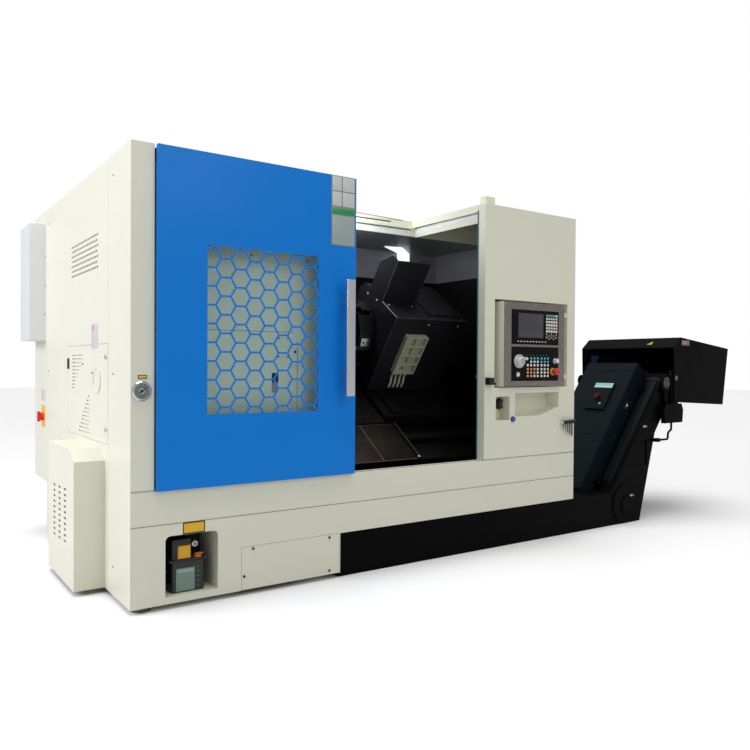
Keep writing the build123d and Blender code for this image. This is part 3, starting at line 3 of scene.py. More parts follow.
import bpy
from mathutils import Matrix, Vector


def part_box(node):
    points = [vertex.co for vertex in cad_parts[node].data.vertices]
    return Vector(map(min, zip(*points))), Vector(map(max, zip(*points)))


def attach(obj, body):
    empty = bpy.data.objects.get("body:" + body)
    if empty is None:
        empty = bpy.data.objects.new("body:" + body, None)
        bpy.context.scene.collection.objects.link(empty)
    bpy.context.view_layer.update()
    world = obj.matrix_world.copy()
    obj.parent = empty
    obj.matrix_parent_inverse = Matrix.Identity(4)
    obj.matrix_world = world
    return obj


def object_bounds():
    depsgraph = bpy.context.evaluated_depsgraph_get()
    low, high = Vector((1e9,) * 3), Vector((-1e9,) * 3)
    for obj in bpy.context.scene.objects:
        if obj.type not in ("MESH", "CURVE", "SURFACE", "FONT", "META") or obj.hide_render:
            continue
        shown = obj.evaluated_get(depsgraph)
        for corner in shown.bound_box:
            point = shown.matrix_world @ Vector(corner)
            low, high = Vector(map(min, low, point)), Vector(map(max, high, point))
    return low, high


bl_info = {
    "name": "Turning lathe looks",
    "version": (1, 0, 0),
    "blender": (4, 5, 0),
    "location": "View3D > Sidebar > Lathe",
    "description": "Finishes, small fittings and studio for a slant-bed turning lathe",
    "category": "Object",
}

from math import cos, pi, radians, sin

import bmesh
import bpy
from bpy.props import FloatProperty, FloatVectorProperty, PointerProperty
from bpy.types import NodeSocket, Operator, Panel, PropertyGroup
from mathutils import Matrix, Vector

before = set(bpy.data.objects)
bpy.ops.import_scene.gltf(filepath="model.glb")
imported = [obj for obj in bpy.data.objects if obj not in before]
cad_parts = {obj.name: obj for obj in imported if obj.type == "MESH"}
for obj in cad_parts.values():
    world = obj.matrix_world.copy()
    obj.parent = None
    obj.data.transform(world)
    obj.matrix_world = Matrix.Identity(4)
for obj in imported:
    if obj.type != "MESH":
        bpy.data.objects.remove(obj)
cad_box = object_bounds()

# The housing's front left corner at the underside of its base, which all places start from
CORNER = Vector((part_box("left_column")[0].x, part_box("front_base")[0].y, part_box("bed")[0].z))
MM = 0.001
# Height at which the work area's walls change from black to grey
UPPER_WALL = 1590.0
# Limits wide enough for the whole machine
EVERY = (-500.0, 5000.0)
# Faces of the control's plates and of the keys on them
CONTROL_FACE = -38.0
KEY_FACE = -40.0
BLACK = (0.012, 0.012, 0.012)


def at(x, y, z):
    """A place in the row frame, from millimetres right of, behind and above the corner."""
    return CORNER + Vector((x, y, z)) * MM


def reach(node):
    """Lowest and highest corner of a solid, in millimetres from the housing's corner."""
    low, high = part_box(node)
    return (low - CORNER) / MM, (high - CORNER) / MM


def centre(node):
    """Middle of a solid, in millimetres from the housing's corner."""
    low, high = reach(node)
    return (low + high) / 2


def colour(name, description, value):
    return FloatVectorProperty(
        name=name, description=description, subtype="COLOR", size=3, min=0.0, max=1.0, default=value
    )


def length(name, description, value):
    return FloatProperty(name=name, description=description, default=value, min=0.0, unit="LENGTH")


def angle(name, description, degrees):
    turn = radians(degrees)
    return FloatProperty(name=name, description=description, subtype="ANGLE", default=turn)


def strength(name, description, value, **limits):
    """A property that isn't negative, unless its limits say otherwise."""
    limits = {"min": 0.0} | limits
    return FloatProperty(name=name, description=description, default=value, **limits)


class LatheColours(PropertyGroup):
    """Colours of the machine's finishes."""

    housing: colour("Housing", "Powder coat of the housing's sheets", (0.79, 0.80, 0.655))
    door: colour("Door", "Powder coat of the sliding door", (0.003, 0.215, 0.74))
    liner: colour("Liner", "Paint of the fixed sheet behind the door", (0.76, 0.90, 0.76))
    conveyor: colour("Conveyor", "Paint of the chip conveyor", (0.0022, 0.0018, 0.0020))
    conveyor_cover: colour("Conveyor cover", "Paint of the raised cover", (0.004, 0.009, 0.012))
    walls: colour("Work area", "Lower walls of the work area", (0.007, 0.007, 0.008))
    upper_walls: colour("Upper walls", "Upper walls of the work area", (0.27, 0.27, 0.31))
    ceiling: colour("Ceiling", "Sheet above the work area", (0.24, 0.27, 0.29))
    castings: colour("Castings", "Paint of the castings in the work area", (0.0115, 0.0118, 0.0145))
    steel: colour("Steel", "Ground and turned steel", (0.50, 0.51, 0.52))
    cream: colour("Coolant block", "Paint of the coolant block", (0.40, 0.42, 0.30))
    screen: colour("Screen", "The display's glass", (0.060, 0.056, 0.066))
    signal_red: colour("Red", "Emergency stop button and main switch", (0.62, 0.004, 0.006))
    signal_yellow: colour("Yellow", "Blank plates and collars", (0.85, 0.50, 0.01))
    signal_green: colour("Green", "Stripe of the door's plate", (0.02, 0.30, 0.07))
    signal_blue: colour("Blue", "Blue button", (0.010, 0.022, 0.17))
    key_cyan: colour("Cyan keys", "Top rows of keys", (0.10, 0.50, 0.55))
    key_amber: colour("Amber keys", "Keys of the lower left rows", (0.75, 0.42, 0.16))
    # Also the colour of the painted shadow lines along the back beam and the right side's top
    seal_and_shadow_lines: colour("Seals", "Rubber seals along the opening", (0.030, 0.170, 0.155))


class LatheSizes(PropertyGroup):
    """Sizes of the small fittings."""

    screw: length("Panel screw", "Radius of a panel screw's head", 0.0065)
    small_screw: length("Small screw", "Radius of a small screw's head", 0.0042)
    plate: length("Plate", "Thickness of a blank plate", 0.0010)
    cap: length("Key cap", "Height of a key cap above its key", 0.0006)
    hose: length("Hose", "Radius of the oil line", 0.004)


class StudioSettings(PropertyGroup):
    """Camera, floor and lights."""

    camera_place: FloatVectorProperty(
        name="Camera place", description="Camera, from the housing's corner", size=3,
        subtype="TRANSLATION", unit="LENGTH", default=(-0.863, -2.945, 0.988),
    )
    camera_turn: angle("Turn", "Heading to the right of straight back", 34.82)
    camera_tilt: angle("Tilt", "Upward tilt of the view", -0.73)
    camera_roll: angle("Roll", "Roll of the camera", 0.36)
    camera_lens: strength("Lens", "Focal length in millimetres on a 36 mm sensor", 35.1, min=10.0)
    floor: colour("Floor", "Colour of the studio floor", (0.93, 0.93, 0.93))
    key_power: strength("Key light", "Power of the light from the left", 215.0, unit="POWER")
    key_tint: colour("Key tint", "Colour of the light from the left", (0.90, 0.88, 1.0))
    fill_power: strength("Fill light", "Power of the light from the front", 60.0, unit="POWER")
    work_power: strength("Work light", "Power of the light in the work area", 3.5, unit="POWER")
    overhead: strength("Overhead light", "Strength of the soft overhead light", 2.0)
    surround: strength("Surround", "Strength of the surrounding light", 0.4)
    floor_bounce: strength("Floor bounce", "Share of the floor's light that the machine gets",
                           0.55, max=1.0)


def colours():
    return bpy.context.scene.lathe_colours


def sizes():
    return bpy.context.scene.lathe_sizes


def new_object(name, data):
    """A new object in the scene."""
    made = bpy.data.objects.new(name, data)
    bpy.context.scene.collection.objects.link(made)
    return made


# Shader groups and materials

COLOUR, VALUE, VECTOR = "NodeSocketColor", "NodeSocketFloat", "NodeSocketVector"


def add_node(tree, kind, inputs, **settings):
    """Adds a node with its inputs linked or set by name or index, and gives its outputs."""
    node = tree.nodes.new(kind)
    for label, value in settings.items():
        setattr(node, label, value)
    for label, value in inputs.items():
        if isinstance(value, NodeSocket):
            tree.links.new(value, node.inputs[label])
        else:
            node.inputs[label].default_value = value
    return node.outputs


def new_group(name, inputs, outputs):
    """An empty shader group with named sockets, what it is given, and its results."""
    group = bpy.data.node_groups.new(name, "ShaderNodeTree")
    for label, kind, value in inputs:
        socket = group.interface.new_socket(name=label, in_out="INPUT", socket_type=kind)
        socket.default_value = value
    for label, kind in outputs:
        group.interface.new_socket(name=label, in_out="OUTPUT", socket_type=kind)
    given = group.nodes.new("NodeGroupInput").outputs
    return group, given, group.nodes.new("NodeGroupOutput").inputs


def add_group(tree, name, inputs):
    return add_node(tree, "ShaderNodeGroup", inputs, node_tree=bpy.data.node_groups[name])


def object_place(tree):
    """The object's own coordinates."""
    return tree.nodes.new("ShaderNodeTexCoord").outputs["Object"]


def noise(tree, place, scale, detail=3.0, roughness=0.55):
    values = {"Vector": place, "Scale": scale, "Detail": detail, "Roughness": roughness}
    return add_node(tree, "ShaderNodeTexNoise", values)["Fac"]


def spread(tree, value, low, high):
    """Maps a noise value from its usual band to low..high."""
    values = {"Value": value, "From Min": 0.3, "From Max": 0.7, "To Min": low, "To Max": high}
    return add_node(tree, "ShaderNodeMapRange", values)["Result"]


def mix(tree, factor, first, second, blend="MIX"):
    """Mixes two colours; the numbers are the colour sockets of the Mix node."""
    values = {0: factor, 6: first, 7: second}
    return add_node(tree, "ShaderNodeMix", values, data_type="RGBA", blend_type=blend)[2]


def shade(tree, base, factor):
    """base multiplied by a grey value."""
    return mix(tree, 1.0, base, factor, "MULTIPLY")


def least(tree, first, second, kind="ShaderNodeMath"):
    return add_node(tree, kind, {0: first, 1: second}, operation="MINIMUM")[0]


def texture_group(name, extra):
    """An empty group that gives colour, roughness and height for a colour and a range of gloss."""
    inputs = [("Color", COLOUR, (0.5, 0.5, 0.5, 1)),
              ("Gloss Low", VALUE, 0.3), ("Gloss High", VALUE, 0.5)]
    results = [("Color", COLOUR), ("Roughness", VALUE), ("Height", VALUE)]
    group, given, result = new_group(name, inputs + extra, results)
    return group, given, result, object_place(group)


def finish_texture(group, given, result, tone, gloss, height):
    """Feeds a texture's results from its tone, and from the noises of its gloss and its height."""
    group.links.new(tone, result["Color"])
    roughness = spread(group, gloss, given["Gloss Low"], given["Gloss High"])
    group.links.new(roughness, result["Roughness"])
    group.links.new(height, result["Height"])


def coat_group():
    """Sprayed or powder coated paint: orange peel, faint clouds in its colour and its gloss."""
    extra = [("Cloud", VALUE, 0.96), ("Peel Scale", VALUE, 420.0)]
    group, given, result, place = texture_group("sprayed_coat", extra)
    clouds = spread(group, noise(group, place, 2.6, 4.0), given["Cloud"], 1.0)
    smears = noise(group, place, 9.0, 5.0, 0.62)
    peel = noise(group, place, given["Peel Scale"], 2.0)
    finish_texture(group, given, result, shade(group, given["Color"], clouds), smears, peel)


def grain_group():
    """Machined metal: tool lines along one direction, with soft stains."""
    extra = [("Stretch", VECTOR, (1.0, 30.0, 30.0)), ("Stain", VALUE, 0.75)]
    group, given, result, place = texture_group("machined_grain", extra)
    values = {0: place, 1: given["Stretch"]}
    stretched = add_node(group, "ShaderNodeVectorMath", values, operation="MULTIPLY")["Vector"]
    lines = noise(group, stretched, 22.0, 4.0, 0.7)
    stains = spread(group, noise(group, place, 7.0, 4.0, 0.6), given["Stain"], 1.0)
    tone = shade(group, shade(group, given["Color"], stains), spread(group, lines, 0.90, 1.04))
    finish_texture(group, given, result, tone, lines, lines)


def moulded_group():
    """Moulded plastic or rubber: fine spark-eroded texture and handling marks."""
    extra = [("Marks", VALUE, 0.85), ("Grain Scale", VALUE, 900.0)]
    group, given, result, place = texture_group("moulded_texture", extra)
    marks = noise(group, place, 24.0, 5.0, 0.65)
    tone = shade(group, given["Color"], spread(group, marks, given["Marks"], 1.0))
    grain = noise(group, place, given["Grain Scale"], 1.0)
    finish_texture(group, given, result, tone, marks, grain)


def area_group():
    """Mask of the part of a surface that lies inside a box, in the object's own coordinates."""
    inputs = [("Low", VECTOR, (0, 0, 0)), ("High", VECTOR, (0, 0, 0))]
    group, given, result = new_group("area_mask", inputs, [("Mask", VALUE)])
    place = object_place(group)
    vector = "ShaderNodeVectorMath"
    above = add_node(group, vector, {0: place, 1: given["Low"]}, operation="SUBTRACT")[0]
    below = add_node(group, vector, {0: given["High"], 1: place}, operation="SUBTRACT")[0]
    x, y, z = add_node(group, "ShaderNodeSeparateXYZ", {0: least(group, above, below, vector)})
    values = {0: least(group, least(group, x, y), z), 1: 0.0}
    inside = add_node(group, "ShaderNodeMath", values, operation="GREATER_THAN")[0]
    group.links.new(inside, result["Mask"])


def colour_area(name, x, y, z, tone):
    """Gives the part of a finish inside a box, in millimetres from the corner, another colour."""
    tree = bpy.data.materials[name].node_tree
    socket = tree.nodes["Principled BSDF"].inputs["Base Color"]
    limits = {"Low": at(x[0], y[0], z[0]), "High": at(x[1], y[1], z[1])}
    mask = add_group(tree, "area_mask", limits)["Mask"]
    tree.links.new(mix(tree, mask, socket.links[0].from_socket, (*tone, 1.0)), socket)


def base_material(name, group, tone, gloss, values, bump, bump_distance=0.0004):
    """A material whose colour, roughness and bump come from a group; gives its shader's inputs."""
    material = bpy.data.materials.new(name)
    material.use_nodes = True
    tree = material.node_tree
    ends = {"Color": (*tone, 1.0), "Gloss Low": gloss[0], "Gloss High": gloss[1]}
    texture = add_group(tree, group, ends | values)
    relief = {"Strength": bump, "Distance": bump_distance, "Height": texture["Height"]}
    normal = add_node(tree, "ShaderNodeBump", relief)["Normal"]
    shader = tree.nodes["Principled BSDF"].inputs
    tree.links.new(texture["Color"], shader["Base Color"])
    tree.links.new(texture["Roughness"], shader["Roughness"])
    tree.links.new(normal, shader["Normal"])
    return shader


def paint(name, tone, cloud=0.96, low=0.30, high=0.42, peel=420.0, coat=0.0, sheen=0.5):
    """Sprayed paint; coat is the weight of its clear coat and sheen its specular level."""
    values = {"Cloud": cloud, "Peel Scale": peel}
    shader = base_material(name, "sprayed_coat", tone, (low, high), values, 0.06)
    shader["Specular IOR Level"].default_value = sheen
    shader["Coat Weight"].default_value = coat
    shader["Coat Roughness"].default_value = 0.12


def metal(name, tone, stretch=(1.0, 30.0, 30.0), stain=0.75, low=0.22, high=0.40, bump=0.05):
    values = {"Stretch": stretch, "Stain": stain}
    shader = base_material(name, "machined_grain", tone, (low, high), values, bump)
    shader["Metallic"].default_value = 1.0


def plastic(name, tone, low=0.38, high=0.55, marks=0.85, grain=900.0, sheen=0.5):
    """Moulded plastic or rubber; sheen is its specular level."""
    values = {"Marks": marks, "Grain Scale": grain}
    shader = base_material(name, "moulded_texture", tone, (low, high), values, 0.08, 0.0002)
    shader["Specular IOR Level"].default_value = sheen
    return shader


def glowing(name, tone, light):
    """Plastic that also gives light."""
    shader = plastic(name, tone, 0.15, 0.25)
    shader["Emission Color"].default_value = (*tone, 1.0)
    shader["Emission Strength"].default_value = light


def clear_pane(name):
    """Clear glass with a faint tint and a few smears in its gloss."""
    shader = plastic(name, (0.92, 0.95, 0.94), 0.03, 0.08, 0.97, 60.0)
    shader["Transmission Weight"].default_value = 1.0
    shader["IOR"].default_value = 1.12


def make_materials():
    """Builds the shader groups and every material once."""
    for make_group in (coat_group, grain_group, moulded_group, area_group):
        make_group()
    c = colours()
    for part in ("housing", "base", "roof", "right_side", "right_cabinet", "belt_door"):
        paint(part + "_paint", c.housing, 0.975, coat=0.10, sheen=0.35)
    paint("door_paint", c.door, 0.96, 0.28, 0.40, coat=0.05, sheen=0.15)
    paint("liner_paint", c.liner, 0.94, 0.34, 0.50, sheen=0.3)
    paint("wall_sheet", c.walls, 0.75, 0.30, 0.50, sheen=0.2)
    paint("cooler_paint", (0.75, 0.79, 0.80), 0.97, sheen=0.35)
    # Name, colour, cloud, lowest and highest roughness, size of the orange peel, coat and sheen
    for values in (
        ("conveyor_paint", c.conveyor, 0.75, 0.38, 0.52, 300.0, 0.0, 0.06),
        ("conveyor_sheet", c.conveyor_cover, 0.85, 0.36, 0.48, 300.0, 0.0, 0.12),
        ("conveyor_strip", (0.005, 0.010, 0.015), 0.80, 0.34, 0.46, 300.0, 0.0, 0.10),
        ("conveyor_blue", (0.012, 0.030, 0.065), 0.85, 0.34, 0.46, 300.0, 0.0, 0.2),
        ("casting_paint", c.castings, 0.70, 0.34, 0.55, 240.0, 0.0, 0.20),
        ("bed_paint", (0.006, 0.006, 0.007), 0.70, 0.34, 0.55, 240.0, 0.0, 0.12),
        ("cream_casting", c.cream, 0.88, 0.35, 0.50, 200.0),
        # Painted highlights: light tones for the glints along worn and bare edges, on screw heads
        # and along the tray's edges
        ("worn_edge_highlight", (0.085, 0.085, 0.09), 0.60, 0.30, 0.45),
        ("bare_edge_highlight", (0.55, 0.55, 0.56), 0.60, 0.25, 0.40),
        ("tray_edge_highlight", (0.33, 0.21, 0.15), 0.60, 0.35, 0.50),
        ("plate_yellow", c.signal_yellow, 0.95, 0.25, 0.35),
        ("plate_amber", (0.72, 0.33, 0.01), 0.92, 0.25, 0.35),
        ("plate_pale", (0.62, 0.63, 0.61), 0.95, 0.25, 0.35),
        ("plate_pink", (0.80, 0.33, 0.36), 0.95, 0.25, 0.35),
        ("plate_green", c.signal_green, 0.95, 0.25, 0.35),
        ("plate_cyan", (0.30, 0.66, 0.74), 0.90, 0.22, 0.32),
        ("plate_sage", (0.20, 0.30, 0.26), 0.90, 0.28, 0.38),
        ("plate_mist", (0.36, 0.44, 0.43), 0.92, 0.28, 0.38),
        ("plate_lime", (0.40, 0.60, 0.01), 0.90, 0.28, 0.38),
        ("plate_olive", (0.20, 0.17, 0.01), 0.90, 0.28, 0.38),
        ("plate_brown", (0.21, 0.16, 0.125), 0.90, 0.28, 0.38),
        ("plate_sand", (0.42, 0.36, 0.30), 0.90, 0.28, 0.38),
        ("plate_black", BLACK, 0.90, 0.28, 0.38, 420.0, 0.0, 0.3),
        ("vent_backing", (0.80, 0.79, 0.72), 0.95, 0.45, 0.60),
        ("seam_shadow", (0.16, 0.15, 0.11), 0.85, 0.50, 0.65, 420.0, 0.0, 0.1),
        ("rail_brown", (0.42, 0.16, 0.07), 0.85, 0.40, 0.55, 420.0, 0.0, 0.2),
        ("rail_blue", (0.015, 0.030, 0.085), 0.85, 0.35, 0.50, 420.0, 0.0, 0.3),
    ):
        paint(*values)
    metal("turned_steel", c.steel, (30.0, 1.0, 1.0))
    # Name, colour, stretch of the tool lines, stain, lowest and highest roughness, and relief
    for values in (
        ("bearing_grey", (0.17, 0.165, 0.16), (1.0, 6.0, 6.0), 0.8, 0.38, 0.52),
        ("ground_steel", (0.42, 0.43, 0.44), (1.0, 26.0, 26.0), 0.6, 0.20, 0.42),
        ("cover_steel", (0.060, 0.052, 0.046), (26.0, 1.0, 26.0), 0.55, 0.30, 0.52),
        ("brushed_frame", (0.36, 0.315, 0.305), (1.0, 26.0, 26.0), 0.85, 0.30, 0.42),
        ("handle_metal", (0.76, 0.76, 0.80), (0.4, 0.4, 0.1), 0.97, 0.27, 0.29, 0.0),
        ("bright_chrome", (0.80, 0.81, 0.82), (1.0, 1.0, 1.0), 0.95, 0.06, 0.12, 0.01),
        ("black_oxide", (0.035, 0.036, 0.038), (1.0, 6.0, 6.0), 0.8, 0.30, 0.45),
        ("key_steel", (0.11, 0.12, 0.115), (1.0, 6.0, 6.0), 0.8, 0.26, 0.40),
        ("chain_steel", (0.22, 0.21, 0.20), (1.0, 8.0, 8.0), 0.55, 0.34, 0.55),
    ):
        metal(*values)
    plastic("black_plastic", (0.008, 0.008, 0.009), sheen=0.3)
    plastic("panel_face", (0.004, 0.004, 0.005), 0.36, 0.48, sheen=0.12)
    plastic("red_plastic", c.signal_red, 0.22, 0.32, sheen=0.25)
    plastic("dark_red", (0.10, 0.003, 0.003), 0.30, 0.42, sheen=0.2)
    plastic("screen_glass", c.screen, 0.06, 0.10, 0.95)
    # Name, colour, lowest and highest roughness
    for values in (
        ("dark_rubber", (0.010, 0.010, 0.010), 0.60, 0.75),
        ("tank_plastic", (0.020, 0.028, 0.022), 0.18, 0.30),
        ("white_key", (0.90, 0.90, 0.86), 0.30, 0.42),
        ("cyan_key", c.key_cyan, 0.30, 0.42),
        ("amber_key", c.key_amber, 0.30, 0.42),
        ("pink_key", (0.84, 0.66, 0.58), 0.30, 0.42),
        ("grey_key", (0.34, 0.35, 0.34), 0.30, 0.42),
        ("wheel_grip", (0.78, 0.78, 0.75), 0.22, 0.34),
        # The teal rubber also gives painted shadow lines, and the pale one painted highlight strips
        ("seal_rubber_and_shadow_line", c.seal_and_shadow_lines, 0.55, 0.70),
        ("edge_highlight_strip", (0.84, 0.92, 0.90), 0.40, 0.55),
        ("yellow_plastic", c.signal_yellow, 0.25, 0.35),
        ("blue_plastic", c.signal_blue, 0.20, 0.30),
        ("orange_plastic", (0.80, 0.16, 0.01), 0.25, 0.35),
        ("dial_white", (0.82, 0.82, 0.80), 0.25, 0.35),
        ("dial_grey", (0.26, 0.29, 0.29), 0.30, 0.42),
    ):
        plastic(*values)
    glowing("lamp_pane", (0.95, 1.0, 1.0), 1.1)
    clear_pane("door_pane")
    clear_pane("dial_glass")


def colour_work_area():
    """Dark inner faces of the sheets that have the housing's or the liner's paint outside."""
    c = colours()
    upper = (UPPER_WALL, reach("rear_wall")[1].z + 5)
    side = reach("right_side_panel")[0].x
    wall = reach("headstock_cover")[1].x
    roof = reach("roof")[0].z
    colour_area("wall_sheet", EVERY, EVERY, upper, c.upper_walls)
    colour_area("right_side_paint", (side - 2, side + 40), EVERY, EVERY, c.walls)
    colour_area("right_side_paint", (side - 2, side + 40), EVERY, upper, c.upper_walls)
    colour_area("liner_paint", (wall - 8, wall + 8), (90, 2000), EVERY, c.walls)
    colour_area("roof_paint", EVERY, (650, 3000), (roof - 2, roof + 4), c.ceiling)


def colour_fittings():
    """Black fittings that are part of the sheets they are fixed to, black painted shade inside the
    lubricator's recess, and a grey line of painted shade by the belt door's round cover.
    """
    low, high = reach("right_cabinet")
    keys = reach("hex_keys")[0].x
    edge = reach("belt_cover_door")[1].y
    recess, deep = (26, 283), (3.5, 223)
    for name, x, y, z in (
        ("right_cabinet_paint", (keys - 9, high.x - 20), (-40, -0.4), (640, 670)),
        ("right_cabinet_paint", (low.x + 4, low.x + 64), (-40, -0.4), (880, 930)),
        ("right_cabinet_paint", (low.x + 98, low.x + 152), (56, 82.6), (735, 795)),
        # Black painted shade inside the lubricator's recess: its back, its left side and under its
        # top
        ("base_paint", (140, 374), (212, 223), recess),
        ("base_paint", (141.5, 145), deep, recess),
        ("base_paint", (141.5, 165), deep, (255, 283)),
        ("base_paint", (141.5, 350), deep, (277, 283)),
        ("belt_door_paint", (-10, -0.1), (edge - 42, edge - 8), (955, 1020)),
    ):
        colour_area(name, x, y, z, BLACK)
    # A grey line of painted shade along the right edge of the belt door's raised round cover
    colour_area("belt_door_paint", (-10, -2.6), (568, 574), (890, 940), (0.30, 0.30, 0.28))


NODE_MATERIALS = {
    "base_paint": "front_base",
    "housing_paint": "access_cover left_column left_side_panel pump_cover "
                     "electrical_cabinet rear_panel control_box",
    "roof_paint": "roof",
    "right_side_paint": "right_side_panel",
    "right_cabinet_paint": "right_cabinet",
    "belt_door_paint": "belt_cover_door",
    "door_paint": "door_panel door_roof_flap",
    "conveyor_paint": "conveyor_body conveyor_hood conveyor_gearmotor",
    "conveyor_sheet": "conveyor_cover",
    "casting_paint": "headstock spindle_motor turret_housing tailstock",
    "bed_paint": "bed carriage",
    "wall_sheet": "rear_wall",
    "liner_paint": "headstock_cover",
    "turned_steel": "spindle chuck motor_pulley quill live_centre",
    "ground_steel": "chuck_jaw_1 chuck_jaw_2 chuck_jaw_3",
    "black_oxide": "turret_disc tool_holders conveyor_shaft",
    "cover_steel": "way_covers way_cover_mid",
    "chain_steel": "conveyor_belt levelling_feet",
    "handle_metal": "door_handle",
    "bright_chrome": "pressure_gauge",
    "key_steel": "hex_keys",
    "cream_casting": "coolant_block",
    "panel_face": "operator_panel display_unit",
    "black_plastic": "lubricator_pump gauge_needle",
    "wheel_grip": "handwheel override_knob",
    "cooler_paint": "cabinet_cooler",
    "door_pane": "door_glass",
    "tank_plastic": "lubricator_tank",
    "red_plastic": "estop_button main_switch_knob",
    "dark_red": "conveyor_stop_button",
    "blue_plastic": "blue_button",
    "white_key": "cycle_button",
    "dark_rubber": "drive_belt",
}


# Places on the object, all in millimetres

UPRIGHT = Matrix.Translation(CORNER) @ Matrix.Scale(MM, 4)


def leaning(origin, first, second, third):
    """A place at origin whose three directions are given."""
    turn = Matrix((first, second, third)).transposed().to_4x4()
    return UPRIGHT @ Matrix.Translation(origin) @ turn


CLIMB = radians(53.6)
# Along the conveyor's incline, across it to the back, and out from its strips
INCLINE = leaning((3022, 0, 172), (cos(CLIMB), 0, sin(CLIMB)),
                  (0, 1, 0), (-sin(CLIMB), 0, cos(CLIMB)))
SLANT = radians(35.3)
# Along the spindle, up the slanted bed, and out from it
BED = leaning((0, 0, 0), (1, 0, 0), (0, cos(SLANT), sin(SLANT)), (0, -sin(SLANT), cos(SLANT)))
RIGHT, BACK, UP = Vector((1, 0, 0)), Vector((0, 1, 0)), Vector((0, 0, 1))
LEFT, FRONT = -RIGHT, -BACK


# Mesh helpers

class Piece:
    """Collects small forms, in millimetres, into one mesh whose faces carry named materials."""

    def __init__(self, name, body, slot, place=UPRIGHT):
        self.name = name
        self.body = body
        self.slot = slot
        self.place = place
        self.mesh = bmesh.new()
        self.materials = []

    def paint(self, faces, material):
        if material not in self.materials:
            self.materials.append(material)
        for face in faces:
            face.material_index = self.materials.index(material)

    def block(self, x, y, z, material, bevel=0.4):
        """A plate or block between pairs of limits, with eased edges."""
        low, high = Vector((x[0], y[0], z[0])), Vector((x[1], y[1], z[1]))
        size = high - low
        matrix = Matrix.Translation((low + high) / 2) @ Matrix.Diagonal((*size, 1.0))
        made = bmesh.ops.create_cube(self.mesh, size=1.0, matrix=matrix)
        self.paint({face for vertex in made["verts"] for face in vertex.link_faces}, material)
        if bevel:
            edges = {edge for vertex in made["verts"] for edge in vertex.link_edges}
            bmesh.ops.bevel(self.mesh, geom=list(edges), offset=min(bevel, min(size) * 0.3),
                            segments=2, profile=0.6, affect="EDGES", clamp_overlap=True,
                            material=-1)

    def turned(self, place, axis, profile, material, segments=28):
        """A turned form: (radius, distance along the axis) pairs, from its back to its front."""
        turn = Vector(axis).normalized().to_track_quat("Z", "Y").to_matrix().to_4x4()
        matrix = Matrix.Translation(place) @ turn
        rings = []
        for radius, along in profile:
            count = segments if radius > 0 else 1
            rings.append([
                self.mesh.verts.new(matrix @ Vector((radius * cos(2 * pi * k / segments),
                                                     radius * sin(2 * pi * k / segments), along)))
                for k in range(count)
            ])
        faces = []
        for low, high in zip(rings, rings[1:]):
            for k in range(segments):
                after = (k + 1) % segments
                corners = (low[k % len(low)], low[after % len(low)],
                           high[after % len(high)], high[k % len(high)])
                unique = list(dict.fromkeys(corners))
                if len(unique) > 2:
                    faces.append(self.mesh.faces.new(unique))
        self.paint(faces, material)

    def disc(self, place, axis, radius, height, material, ease=0.3, segments=28):
        profile = [(0, 0), (radius, 0), (radius, height - ease),
                   (radius - ease, height), (0, height)]
        self.turned(place, axis, profile, material, segments)

    def ring(self, place, axis, inner, outer, height, material, segments=36):
        profile = [(inner, 0), (outer, 0), (outer, 0.7 * height), (outer - 0.3 * height, height),
                   (inner, height), (inner, 0)]
        self.turned(place, axis, profile, material, segments)

    def prism(self, corners, depth, material):
        """A flat outline given thickness along a vector."""
        near = [self.mesh.verts.new(Vector(corner)) for corner in corners]
        far = [self.mesh.verts.new(Vector(corner) + Vector(depth)) for corner in corners]
        faces = [self.mesh.faces.new(near), self.mesh.faces.new(list(reversed(far)))]
        for k in range(len(near)):
            after = (k + 1) % len(near)
            faces.append(self.mesh.faces.new((near[k], far[k], far[after], near[after])))
        self.paint(faces, material)

    def strip(self, start, end, width, height, out, material):
        """A narrow flat strip from start to end on a surface that faces out."""
        start, end, out = Vector(start), Vector(end), Vector(out).normalized()
        across = out.cross((end - start).normalized()) * width / 2
        corners = [start - across, end - across, end + across, start + across]
        self.prism(corners, out * height, material)

    def screw(self, place, axis, radius, material="black_oxide"):
        """A socket head screw seen from outside, with its hexagon pocket."""
        r, top, foot = radius, 0.5 * radius, 0.15 * radius
        head = [(r, 0), (r, 0.35 * r), (0.86 * r, top), (0.52 * r, top)]
        self.turned(place, axis, head, material, 20)
        self.turned(place, axis, [(0.52 * r, top), (0.48 * r, foot), (0, foot)], "plate_black", 6)

    def screws(self, places, axis, radius, material="chain_steel"):
        for place in places:
            self.screw(place, axis, radius, material)

    def edges(self, *edges):
        """Sharp-edged strips, each given as limits along x, y and z and a material."""
        for x, y, z, material in edges:
            self.block(x, y, z, material, 0)

    def done(self):
        """Makes the object, with sharp edges kept crisp, and lets it ride on its body."""
        bmesh.ops.transform(self.mesh, matrix=self.place, verts=self.mesh.verts)
        bmesh.ops.remove_doubles(self.mesh, verts=self.mesh.verts, dist=1e-6)
        bmesh.ops.recalc_face_normals(self.mesh, faces=self.mesh.faces)
        for edge in self.mesh.edges:
            edge.smooth = len(edge.link_faces) == 2 and edge.calc_face_angle(0.0) < radians(35)
        for face in self.mesh.faces:
            face.smooth = True
        data = bpy.data.meshes.new(self.name)
        self.mesh.to_mesh(data)
        self.mesh.free()
        for material in self.materials:
            data.materials.append(bpy.data.materials[material])
        made = new_object(self.name, data)
        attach(made, self.body)


def around(x, y, z, radius, turn):
    """A place on a circle that faces forward."""
    return x + radius * cos(turn), y, z + radius * sin(turn)


